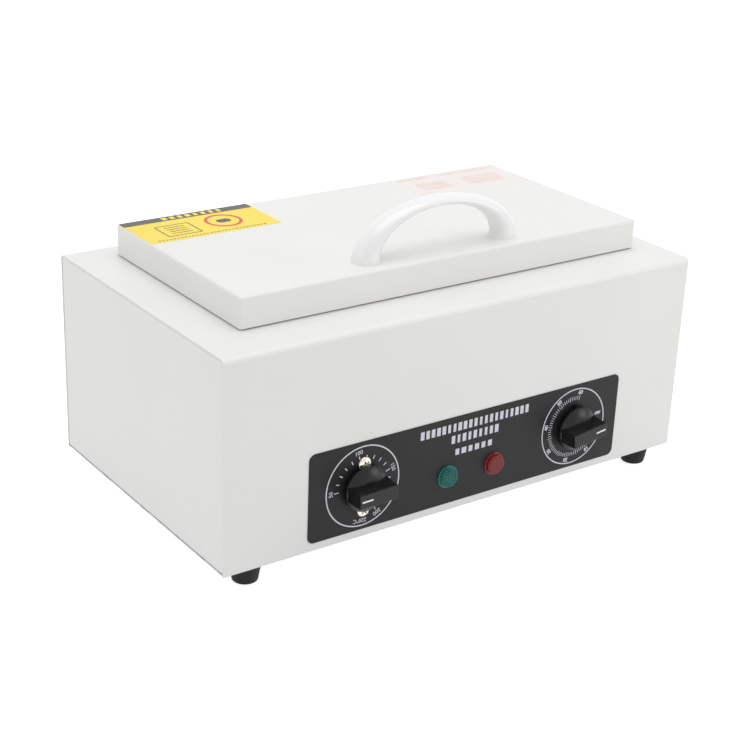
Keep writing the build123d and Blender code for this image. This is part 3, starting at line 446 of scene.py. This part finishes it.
def scale_tree():
    """A printed dial: one ring, and ticks on an arc, of which every fifth is long."""
    sizes = {
        "Ring Radius": "Float",
        "Ring Line": "Float",
        "Tick Count": "Int",
        "First Angle": "Float",
        "Angle Step": "Float",
        "Tick Radius": "Float",
        "Tick Length": "Float",
        "Tick Line": "Float",
        "Long Every": "Float",
        "Long Ratio": "Float",
        "Ink Height": "Float",
    }
    tree, size = sized_tree("dial scale", sizes)
    path = {"Resolution": 128, "Radius": size["Ring Radius"]}
    path = put(tree, "GeometryNodeCurvePrimitiveCircle", path).outputs["Curve"]
    section = {"Width": size["Ring Line"], "Height": size["Ink Height"]}
    section = put(tree, "GeometryNodeCurvePrimitiveQuadrilateral", section).outputs["Curve"]
    ring = put(tree, "GeometryNodeCurveToMesh", {"Curve": path, "Profile Curve": section}).outputs["Mesh"]
    order = put(tree, "GeometryNodeInputIndex", {}).outputs[0]
    angle = worked(tree, "MULTIPLY_ADD", order, size["Angle Step"], size["First Angle"])
    x = worked(tree, "MULTIPLY", worked(tree, "COSINE", angle), size["Tick Radius"])
    y = worked(tree, "MULTIPLY", worked(tree, "SINE", angle), size["Tick Radius"])
    arc = {"Count": size["Tick Count"], "Position": vector(tree, x, y, 0.0)}
    arc = put(tree, "GeometryNodePoints", arc).outputs[0]
    bar = {"Size": vector(tree, size["Tick Length"], size["Tick Line"], size["Ink Height"])}
    bar = put(tree, "GeometryNodeMeshCube", bar).outputs["Mesh"]
    is_long = worked(tree, "LESS_THAN", worked(tree, "MODULO", order, size["Long Every"]), 0.5)
    extra = worked(tree, "SUBTRACT", size["Long Ratio"], 1.0)
    stretch = worked(tree, "MULTIPLY_ADD", is_long, extra, 1.0)
    placed = {
        "Points": arc,
        "Instance": bar,
        "Rotation": vector(tree, 0.0, 0.0, angle),
        "Scale": vector(tree, stretch, 1.0, 1.0),
    }
    ticks = put(tree, "GeometryNodeInstanceOnPoints", placed).outputs[0]
    close_tree(tree, size, joined(tree, ring, ticks), smooth=False)
    return tree


def word(text, height, heavy=0.0):
    """Text as a thin raised print, centred on the origin."""
    curve = bpy.data.curves.new("word", "FONT")
    curve.body = text
    curve.size = height / 0.72
    curve.align_x, curve.align_y = "CENTER", "CENTER"
    curve.extrude = ink_height / 2
    curve.offset = heavy
    curve.resolution_u = 3
    lettering = bpy.data.objects.new("word", curve)
    mesh = bpy.data.meshes.new_from_object(lettering)
    bpy.data.objects.remove(lettering)
    return mesh


def merged(name, meshes, material):
    """One piece from several meshes, each given with its own matrix."""
    form = bmesh.new()
    for mesh, matrix in meshes:
        part = mesh.copy()
        part.transform(matrix)
        form.from_mesh(part)
    whole = bpy.data.meshes.new(name)
    form.to_mesh(whole)
    form.free()
    whole.materials.append(material)
    for face in whole.polygons:
        face.material_index = 0
    piece = bpy.data.objects.new(name, whole)
    bpy.context.scene.collection.objects.link(piece)
    return piece


def on_panel(x, z, angle=0.0):
    """Where a print drawn flat, facing +Z, goes on the panel's face."""
    upright = Matrix.Rotation(math.pi / 2, 4, "X")
    spot = Matrix.Translation((x, panel_low.y - ink_height / 2, z))
    return spot @ upright @ Matrix.Rotation(angle, 4, "Z")


def on_arc(x, z, radius, degrees, level=False):
    """A place on a dial, tops of the figures outwards unless they read level."""
    turn = math.radians(degrees)
    tilt = 0.0 if level else turn - math.pi / 2
    return on_panel(x + radius * math.cos(turn), z + radius * math.sin(turn), tilt)


dial_scale = scale_tree()


def dial(name, node, ticks, labels):
    """Prints a dial round a knob: its scale from the tree, and its figures set on an arc."""
    low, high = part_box(node)
    x, z = (low.x + high.x) / 2, (low.z + high.z) / 2
    sizes = {"Ring Radius": ring_radius, "Ring Line": ring_line, "Ink Height": ink_height, **ticks}
    scale = grow(name, dial_scale, sizes, ink)
    parts = [(scale.data, on_panel(x, z))]
    for text, radius, degrees, height, heavy in labels:
        place = on_arc(x, z, radius * mm, degrees, text == "OFF")
        parts.append((word(text, height * mm, heavy * mm), place))
    bpy.data.objects.remove(scale)
    piece = merged(name, parts, ink)
    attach(piece, "case")


degrees_per_ten = 16.1
thermostat_ticks = {
    "Tick Count": 18,
    "First Angle": math.pi,
    "Angle Step": -math.radians(degrees_per_ten),
    "Tick Radius": 17.2 * mm,
    "Tick Length": 2.2 * mm,
    "Tick Line": 0.62 * mm,
    "Long Every": 5.0,
    "Long Ratio": 1.4,
}
thermostat_labels = [
    (text, 20.7, 180 - degrees_per_ten * steps, 2.5, 0.03)
    for text, steps in (("50", 0), ("100", 5), ("150", 10), ("200", 15), ("220°C", 17))
]
dial("thermostat_scale", "thermostat_knob", thermostat_ticks, thermostat_labels)
degrees_per_minute = 4.5
zero_minutes = -10.0
timer_ticks = {
    "Tick Count": 61,
    "First Angle": math.radians(zero_minutes),
    "Angle Step": -math.radians(degrees_per_minute),
    "Tick Radius": 18.2 * mm,
    "Tick Length": 2.3 * mm,
    "Tick Line": 0.36 * mm,
    "Long Every": 5.0,
    "Long Ratio": 1.35,
}
timer_labels = [
    (str(minutes), 21.4, zero_minutes - degrees_per_minute * minutes, 2.4, 0.14)
    for minutes in (10, 20, 30, 40, 50, 60)
]
timer_labels += [("OFF", 19.3, 13, 1.8, 0.16), ("|", 17.6, 5, 1.2, 0.08)]
dial("timer_scale", "timer_knob", timer_ticks, timer_labels)


def row_tree():
    """A row of upright blocks, their widths a little uneven."""
    sizes = {"Count": "Int", "Pitch": "Float", "Block Height": "Float", "Ink Height": "Float", "Seed": "Int"}
    tree, size = sized_tree("block row", sizes)
    order = put(tree, "GeometryNodeInputIndex", {}).outputs[0]
    half = worked(tree, "MULTIPLY", worked(tree, "SUBTRACT", size["Count"], 1.0), -0.5)
    x = worked(tree, "MULTIPLY", worked(tree, "ADD", order, half), size["Pitch"])
    line = {"Count": size["Count"], "Position": vector(tree, x, 0.0, 0.0)}
    line = put(tree, "GeometryNodePoints", line).outputs[0]
    wide = worked(tree, "MULTIPLY", size["Pitch"], 0.62)
    bar = {"Size": vector(tree, wide, size["Block Height"], size["Ink Height"])}
    bar = put(tree, "GeometryNodeMeshCube", bar).outputs["Mesh"]
    chance = put(tree, "FunctionNodeRandomValue", {"Seed": size["Seed"]}, data_type="FLOAT")
    chance.inputs[2].default_value, chance.inputs[3].default_value = 0.7, 1.15
    placed = {"Points": line, "Instance": bar, "Scale": vector(tree, chance.outputs[1], 1.0, 1.0)}
    close_tree(tree, size, put(tree, "GeometryNodeInstanceOnPoints", placed).outputs[0], smooth=False)
    return tree


block_row = row_tree()
marks = []
for left, right, below, above, count, seed in (
    (-36.2, 42.2, 59.7, 64.7, 21, 3),
    (-14.4, 20.5, 52.4, 57.3, 9, 4),
    (-11.5, 16.6, 44.9, 48.6, 6, 5),
):
    sizes = {
        "Count": count,
        "Pitch": (right - left) * mm / count,
        "Block Height": (above - below) * mm,
        "Ink Height": ink_height,
        "Seed": seed,
    }
    row = grow("row", block_row, sizes, ink)
    marks.append((row.data, on_panel((left + right) / 2 * mm, (below + above) / 2 * mm)))
    bpy.data.objects.remove(row)
panel_marks = merged("panel_marks", marks, ink)
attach(panel_marks, "case")

# Controls behind the panel: a capillary thermostat and a clockwork timer, each on its own plate.
# Bodies are moulded phenolic, the sensing bulb is copper, and the shafts are plated steel.
phenolic = finish(
    "moulded_phenolic",
    light=(0.050, 0.034, 0.026),
    dark=(0.030, 0.020, 0.016),
    patch=90,
    rough=(0.38, 0.55),
    grain=1100,
    relief=0.02 * mm,
)
copper = finish(
    "dulled_copper",
    light=(0.62, 0.33, 0.20),
    dark=(0.42, 0.20, 0.12),
    patch=70,
    rough=(0.30, 0.50),
    grain=1500,
    relief=0.01 * mm,
    Metallic=1.0,
)
ceramic = finish(
    "glazed_ceramic",
    light=(0.74, 0.70, 0.62),
    dark=(0.66, 0.61, 0.53),
    patch=60,
    rough=(0.18, 0.30),
    grain=700,
    relief=0.01 * mm,
)
dress(phenolic, "thermostat_body", "timer_body", "thermal_cutout")
dress(copper, "thermostat_bulb")
dress(ceramic, "terminal_block")
dress(nickel, "thermostat_shaft", "timer_shaft", "inlet_pins")

# Knobs: black moulded domes with a tall grip bar, pushed on to flatted shafts. A white line is filled
# into the bar's face at the pointer end.
knob_black = finish(
    "knob_black",
    light=(0.0085, 0.0085, 0.0085),
    dark=(0.006, 0.006, 0.006),
    patch=120,
    rough=(0.24, 0.34),
    grain=2600,
    relief=0.012 * mm,
    Specular_IOR_Level=0.32,
)
dress(knob_black, "thermostat_knob", "timer_knob")
dress(knob_black, "heating_lamp_holder", "power_lamp_holder", "power_inlet")
pointer_white = finish(
    "pointer_white",
    light=(0.86, 0.86, 0.84),
    dark=(0.78, 0.78, 0.76),
    patch=400,
    rough=(0.4, 0.55),
    grain=3000,
    relief=0.004 * mm,
)


def rounded_bar(length, width, height, steps=8):
    """A flat bar with round ends, standing on z = 0."""
    form = bmesh.new()
    rim = []
    for side in (1, -1):
        for step in range(steps + 1):
            turn = math.pi * step / steps - math.pi / 2
            x = side * ((length - width) / 2 + width / 2 * math.cos(turn))
            rim.append(form.verts.new((x, side * width / 2 * math.sin(turn), 0)))
    face = form.faces.new(rim)
    top = bmesh.ops.extrude_face_region(form, geom=[face])
    raised = [v for v in top["geom"] if isinstance(v, bmesh.types.BMVert)]
    bmesh.ops.translate(form, vec=(0, 0, height), verts=raised)
    bmesh.ops.recalc_face_normals(form, faces=form.faces)
    mesh = bpy.data.meshes.new("bar")
    form.to_mesh(mesh)
    form.free()
    return mesh


pointer_length, pointer_width, pointer_height = 7.2 * mm, 1.0 * mm, 0.25 * mm
pointer_sunk = 0.20 * mm
for dial_name, degrees, setback in (("thermostat", 182, 7.6), ("timer", 8, 8.0)):
    low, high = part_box(dial_name + "_knob")
    turn = math.radians(degrees)
    middle = Vector(((low.x + high.x) / 2, low.y, (low.z + high.z) / 2))
    outwards = Vector((math.cos(turn), 0, math.sin(turn))) * setback * mm
    upright = Matrix.Rotation(math.pi / 2, 4, "X")
    line_place = Matrix.Translation(middle + outwards) @ upright @ Matrix.Rotation(turn, 4, "Z")
    line_sunk = line_place @ Matrix.Translation((0, 0, -pointer_sunk))
    bar = rounded_bar(pointer_length, pointer_width, pointer_height)
    line = merged(dial_name + "_pointer", [(bar, line_sunk)], pointer_white)
    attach(line, dial_name + "_dial")

# Lamps: clear-coloured moulded lenses, green for heating and red for power, pushed through the panel
# into their holders. The front is moulded as a fine waffle that scatters the light.


def lens_tree():
    """A lens cap on its flange, with rows of small pyramids over its front."""
    sizes = {
        "Flange Radius": "Float",
        "Flange Height": "Float",
        "Lens Radius": "Float",
        "Lens Height": "Float",
        "Neck Radius": "Float",
        "Neck Depth": "Float",
        "Waffle Count": "Int",
        "Waffle Rise": "Float",
    }
    tree, size = sized_tree("waffle lens", sizes)
    flange = button(tree, size["Flange Radius"], size["Flange Height"], 0.3, 64)
    cap = button(tree, size["Lens Radius"], size["Lens Height"], 0.14, 64)
    neck = {"Vertices": 48, "Radius": size["Neck Radius"], "Depth": size["Neck Depth"]}
    neck = put(tree, "GeometryNodeMeshCylinder", neck).outputs["Mesh"]
    sunk = worked(tree, "MULTIPLY", size["Neck Depth"], -0.49)
    neck = turned(tree, neck, vector(tree, 0.0, 0.0, sunk))
    wide = worked(tree, "MULTIPLY", size["Lens Radius"], 2.0)
    count = size["Waffle Count"]
    grid = {"Size X": wide, "Size Y": wide, "Vertices X": count, "Vertices Y": count}
    grid = put(tree, "GeometryNodeMeshGrid", grid).outputs["Mesh"]
    place = put(tree, "GeometryNodeInputPosition", {}).outputs[0]
    far = put(tree, "ShaderNodeVectorMath", {0: place}, operation="LENGTH").outputs["Value"]
    outside = worked(tree, "GREATER_THAN", far, worked(tree, "MULTIPLY", size["Lens Radius"], 0.86))
    cut = {"Geometry": grid, "Selection": outside}
    spots = put(tree, "GeometryNodeDeleteGeometry", cut, domain="POINT").outputs[0]
    cell = worked(tree, "DIVIDE", wide, worked(tree, "SUBTRACT", size["Waffle Count"], 1.0))
    pyramid = {
        "Vertices": 4,
        "Radius Top": worked(tree, "MULTIPLY", cell, 0.12),
        "Radius Bottom": worked(tree, "MULTIPLY", cell, 0.68),
        "Depth": size["Waffle Rise"],
    }
    pyramid = put(tree, "GeometryNodeMeshCone", pyramid).outputs["Mesh"]
    pyramid = turned(tree, pyramid, rotation=(0, 0, math.pi / 4))
    waffle = put(tree, "GeometryNodeInstanceOnPoints", {"Points": spots, "Instance": pyramid}).outputs[0]
    raised = worked(tree, "MULTIPLY_ADD", size["Waffle Rise"], -0.12, size["Lens Height"])
    waffle = turned(tree, waffle, vector(tree, 0.0, 0.0, raised))
    close_tree(tree, size, joined(tree, flange, cap, neck, waffle), smooth=False)
    return tree


def groove(material, x, z, pitch, wide, shade_colour):
    """Paints shade on the lines between the cells of a waffle that is centred on x and z: the valleys between its
    pyramids are coloured darker, as painted shade.
    """
    tree = material.node_tree
    place = tree.nodes["Texture Coordinate"].outputs["Object"]
    spot = put(tree, "ShaderNodeSeparateXYZ", {0: place}).outputs
    near = []
    for socket, middle in ((spot["X"], x), (spot["Z"], z)):
        offset = worked(tree, "SUBTRACT", socket, middle)
        cell = worked(tree, "FRACT", worked(tree, "DIVIDE", offset, pitch))
        near.append(worked(tree, "ABSOLUTE", worked(tree, "SUBTRACT", cell, 0.5)))
    edge = worked(tree, "MINIMUM", *near)
    limits = {"Value": edge, "From Min": wide, "From Max": wide * 0.4, "To Min": 0.0, "To Max": 1.0}
    line = put(tree, "ShaderNodeMapRange", limits).outputs["Result"]
    mixed = put(tree, "ShaderNodeMix", {"Factor": line}, data_type="RGBA")
    tree.links.new(tree.nodes["Color Ramp"].outputs["Color"], mixed.inputs[6])
    mixed.inputs[7].default_value = (*shade_colour, 1)
    tree.links.new(mixed.outputs[2], tree.nodes["Principled BSDF"].inputs["Base Color"])


waffle_lens = lens_tree()
# Each lamp: its plastic's two tones, the colour of the painted shade in its waffle's valleys, and the waffle's rise
# in millimetres.
for lamp, light, dark, waffle_shade_colour, rise in (
    ("heating_lamp_lens", (0.006, 0.27, 0.235), (0.004, 0.20, 0.175), (0.0, 0.035, 0.03), 0.35),
    ("power_lamp_lens", (0.27, 0.007, 0.007), (0.19, 0.004, 0.004), (0.15, 0.003, 0.003), 0.08),
):
    coloured = finish(
        lamp + "_plastic",
        light=light,
        dark=dark,
        patch=150,
        rough=(0.12, 0.22),
        grain=900,
        relief=0.01 * mm,
        Subsurface_Weight=0.2,
        Subsurface_Scale=0.001,
        Specular_IOR_Level=0.35,
    )
    low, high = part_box(lamp)
    # The waffle's valleys are coloured darker: painted shade that stands in for the shade between its small
    # pyramids.
    groove(coloured, (low.x + high.x) / 2, (low.z + high.z) / 2, 1.0 * mm, 0.2, waffle_shade_colour)
    reach = panel_low.y - low.y
    sizes = {
        "Flange Radius": (high.x - low.x) / 2,
        "Flange Height": 1.2 * mm,
        "Lens Radius": 6.0 * mm,
        "Lens Height": reach - rise * mm,
        "Neck Radius": 4.9 * mm,
        "Neck Depth": high.y - panel_low.y,
        "Waffle Count": 13,
        "Waffle Rise": rise * mm,
    }
    cap = grow(lamp + "_cap", waffle_lens, sizes, coloured)
    face = Matrix.Translation(((low.x + high.x) / 2, panel_low.y, (low.z + high.z) / 2))
    cap.data.transform(face @ Matrix.Rotation(math.pi / 2, 4, "X"))
    soften(cap, 40)
    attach(cap, "case")
    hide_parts(lamp)

# Inlet: a black moulded socket that snaps into the back panel and is held by two flush screws of
# nickel-plated steel. Its three pins are plated too.
flush_head, flush_height = 2.55 * mm, 1.2 * mm
drive("inlet_screws", "back", 2, 1, flush_head, flush_height, m3, 17, flush_screw)

# Lid: a folded steel box open below, coated like the case, with a stainless pan closing it from
# below. It lies over the chamber's rim.
dress(powder_coat, "lid_shell")
dress(stainless, "lid_pan")

# Handle: a glossy white moulding, thick at its two round feet and drawn out to a slim flat crown,
# screwed on from inside the lid.
gloss_white = finish(
    "handle_gloss_white",
    light=(0.88, 0.885, 0.88),
    dark=(0.86, 0.865, 0.86),
    patch=40,
    rough=(0.16, 0.22),
    grain=160,
    relief=0.02 * mm,
    Coat_Weight=0.3,
    Coat_Roughness=0.08,
)
dress(gloss_white, "handle")

# Hinges: two stainless butt hinges behind the lid, one leaf on the case top and one on the lid's
# back, on a loose pin. Flush screws hold the leaves.
dress(
    stainless,
    "hinge_case_leaf_left",
    "hinge_case_leaf_right",
    "hinge_lid_leaf_left",
    "hinge_lid_leaf_right",
    "hinge_pin_left",
    "hinge_pin_right",
)
leaf_screw_offset = 12 * mm
screw_xs = []
for leaf in ("hinge_case_leaf_left", "hinge_case_leaf_right"):
    low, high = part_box(leaf)
    screw_xs += [(low.x + high.x) / 2 + side * leaf_screw_offset for side in (-1, 1)]
drive("hinge_case_screws", "up", screw_xs, 1, flush_head, flush_height, m3, 18, flush_screw)
drive("hinge_lid_screws", "back", screw_xs, 1, flush_head, flush_height, m3, 19, flush_screw)

# Lid stickers: two thin films on the lid's back corners. The left one is yellow with a dark band,
# plain bars and a ring, and the right one is almost clear, with faint pink fields.
lid_low, lid_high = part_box("lid_shell")


def label_finish(name, light, dark, patch=25, rough=(0.28, 0.34)):
    """Thin plastic film, smooth and slightly glossy."""
    return finish(name, light, dark, patch, rough, 260, 0.004 * mm)


def sheet_outline(x0, x1, y0, y1, corner, steps=6):
    """Corner-rounded rectangle as a ring of points."""
    ring = []
    for cx, cy, start in ((x1, y1, 0), (x0, y1, 90), (x0, y0, 180), (x1, y0, 270)):
        sx, sy = (1 if cx == x1 else -1), (1 if cy == y1 else -1)
        for step in range(steps + 1):
            turn = math.radians(start + 90 * step / steps)
            x = cx - sx * corner + corner * math.cos(turn)
            y = cy - sy * corner + corner * math.sin(turn)
            ring.append((x, y))
    return ring


def slab(outer, bottom, thickness, inner=()):
    """A thin flat plate from its outline in millimetres, with a hole where inner is given."""
    form = bmesh.new()
    rims = []
    for ring in (outer, inner):
        if ring:
            rims.append([form.verts.new((x * mm, y * mm, bottom * mm)) for x, y in ring])
    if inner:
        for i in range(len(outer)):
            j = (i + 1) % len(outer)
            form.faces.new((rims[0][i], rims[0][j], rims[1][j], rims[1][i]))
    else:
        form.faces.new(rims[0])
    top = bmesh.ops.extrude_face_region(form, geom=list(form.faces))
    raised = [v for v in top["geom"] if isinstance(v, bmesh.types.BMVert)]
    bmesh.ops.translate(form, vec=(0, 0, thickness * mm), verts=raised)
    bmesh.ops.recalc_face_normals(form, faces=form.faces)
    mesh = bpy.data.meshes.new("slab")
    form.to_mesh(mesh)
    form.free()
    return mesh


def circle(x, y, radius, steps=64):
    return [
        (x + radius * math.cos(2 * math.pi * i / steps), y + radius * math.sin(2 * math.pi * i / steps))
        for i in range(steps)
    ]


def stick(name, meshes, material):
    piece = merged(name, [(mesh, Matrix.Identity(4)) for mesh in meshes], material)
    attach(piece, "lid")


label_yellow = label_finish("label_yellow", (0.95, 0.74, 0.035), (0.93, 0.72, 0.03))
lid_top = lid_high.z / mm
film_thickness, print_thickness = 0.10, 0.03
label_face = lid_top + film_thickness
film_left, film_right, film_front, film_back = -131.9, -47.4, 40.5, 81.8
band_front = film_back - 7.5
stick(
    "label_film",
    [slab(sheet_outline(film_left, film_right, film_front, film_back, 0.8), lid_top, film_thickness)],
    label_yellow,
)
stick(
    "label_band",
    [slab(sheet_outline(film_left, film_right, band_front, film_back, 0.8), label_face, print_thickness)],
    label_finish("label_grey", (0.055, 0.055, 0.055), (0.045, 0.045, 0.045)),
)
label_black = label_finish("label_black", (0.05, 0.05, 0.05), (0.04, 0.04, 0.04))
frame_outside = sheet_outline(-117.5, -95.5, 47.5, 66.5, 1.2)
frame_inside = sheet_outline(-116.7, -96.3, 48.3, 65.7, 0.6)
frame_line = slab(frame_outside, label_face, print_thickness, frame_inside)
bars = [
    slab(sheet_outline(-113.0, -100.0, y, y + 0.8, 0.3, 2), label_face, print_thickness)
    for y in (51.5, 55.0, 58.5, 62.0)
]
disc = slab(sheet_outline(-80.0, -71.0, 56.5, 62.5, 2.5), label_face, print_thickness)
stick("label_block", [frame_line, *bars, disc], label_black)


def label_row(left, right, middle, high, count, seed, material):
    """A row of small blocks that lies on the yellow film, given in millimetres."""
    sizes = {
        "Count": count,
        "Pitch": (right - left) * mm / count,
        "Block Height": high * mm,
        "Ink Height": print_thickness * mm,
        "Seed": seed,
    }
    row = grow("row", block_row, sizes, material)
    mesh = row.data
    bpy.data.objects.remove(row)
    above = (label_face + print_thickness) * mm
    mesh.transform(Matrix.Translation(((left + right) / 2 * mm, middle * mm, above)))
    return mesh


stick("label_words", [label_row(-107, -66, 78.0, 4.2, 8, 6, label_yellow)], label_yellow)
stick("label_small_print", [label_row(-127, -56, 43.2, 0.9, 30, 7, label_black)], label_black)
stick(
    "label_ring",
    [slab(circle(-75.5, 59.7, 11.3), label_face, print_thickness, circle(-75.5, 59.7, 9.3))],
    label_finish("label_red", (0.70, 0.05, 0.02), (0.62, 0.04, 0.02)),
)
clear_thickness, pink_thickness = 0.03, 0.02
clear_face = lid_top + clear_thickness
stick(
    "faint_label",
    [slab(sheet_outline(58.6, 141.4, 42.7, 81.1, 1.0), lid_top, clear_thickness)],
    label_finish("faint_film", (0.84, 0.822, 0.798), (0.84, 0.785, 0.755), 90, (0.30, 0.36)),
)
stick(
    "faint_print",
    [
        slab(sheet_outline(*field), clear_face, pink_thickness)
        for field in (
            (62.0, 86.0, 74.5, 78.5, 1.0),
            (93.0, 136.0, 74.5, 78.5, 1.0),
            (66.0, 88.0, 52.0, 66.0, 2.0),
            (101.0, 130.0, 50.0, 66.0, 6.0),
        )
    ],
    label_finish("faint_pink", (0.84, 0.74, 0.70), (0.84, 0.66, 0.61), 120, (0.30, 0.36)),
)

# Studio: a pale floor and a white surround that gives most of the light, as in a light tent, with a
# large lamp above and a weak one at each side. The camera stands where the photograph was taken,
# worked out from the case's and the lid's edges.
floor_mesh = bpy.data.meshes.new("floor")
half = 6.0
floor_corners = [(-half, -half, 0), (half, -half, 0), (half, half, 0), (-half, half, 0)]
floor_mesh.from_pydata(floor_corners, [], [(0, 1, 2, 3)])
floor = bpy.data.objects.new("floor", floor_mesh)
bpy.context.scene.collection.objects.link(floor)
floor_paint = bpy.data.materials.new("pale_floor")
floor_paint.use_nodes = True
tree = floor_paint.node_tree
shader = tree.nodes["Principled BSDF"]
shader.inputs["Base Color"].default_value = (0.82, 0.82, 0.82, 1)
shader.inputs["Roughness"].default_value = 0.9
shader.inputs["Specular IOR Level"].default_value = 0.0
shader.inputs["Emission Color"].default_value = (1, 1, 1, 1)
light_path = put(tree, "ShaderNodeLightPath", {}).outputs
seen = worked(tree, "MAXIMUM", light_path["Is Camera Ray"], light_path["Is Glossy Ray"])
seen = worked(tree, "MAXIMUM", seen, light_path["Is Transmission Ray"])
floor_glow = worked(tree, "MULTIPLY", seen, 0.7)
tree.links.new(floor_glow, shader.inputs["Emission Strength"])
floor_mesh.materials.append(floor_paint)

world = bpy.data.worlds.new("surround")
bpy.context.scene.world = world
world.use_nodes = True
tree = world.node_tree
light_path = put(tree, "ShaderNodeLightPath", {}).outputs
seen = worked(tree, "MAXIMUM", light_path["Is Camera Ray"], light_path["Is Glossy Ray"])
seen = worked(tree, "MAXIMUM", seen, light_path["Is Transmission Ray"])
ambient = 0.68
strength = worked(tree, "MULTIPLY_ADD", seen, 1.0 - ambient, ambient)
surround = tree.nodes["Background"]
surround.inputs["Color"].default_value = (1, 1, 1, 1)
tree.links.new(strength, surround.inputs["Strength"])

centre = Vector((0, 0, 0.08))
for name, place, size, power in (
    ("top lamp", (0.0, 0.0, 2.0), 2.0, 14),
    ("right lamp", (0.85, -0.85, 0.35), 0.5, 1.9),
    ("left lamp", (-1.7, 0.1, 0.9), 1.6, 2.0),
):
    lamp = bpy.data.lights.new(name, "AREA")
    lamp.shape, lamp.size, lamp.energy = "DISK", size, power
    stand = bpy.data.objects.new(name, lamp)
    bpy.context.scene.collection.objects.link(stand)
    stand.location = place
    stand.rotation_mode = "QUATERNION"
    stand.rotation_quaternion = (centre - Vector(place)).to_track_quat("-Z", "Y")

camera_data = bpy.data.cameras.new("camera")
camera_data.sensor_width, camera_data.lens = 36.0, 77.71
camera = bpy.data.objects.new("camera", camera_data)
bpy.context.scene.collection.objects.link(camera)
right, up = (0.81703, -0.57538, 0.03753), (0.19694, 0.33964, 0.91971)
back = (-0.54193, -0.74404, 0.39080)
facing_object = Matrix((right, up, back)).transposed().to_4x4()
camera.matrix_world = Matrix.Translation((-0.53021, -0.72009, 0.43920)) @ facing_object
bpy.context.scene.camera = camera
bpy.context.scene.view_settings.view_transform = "Standard"
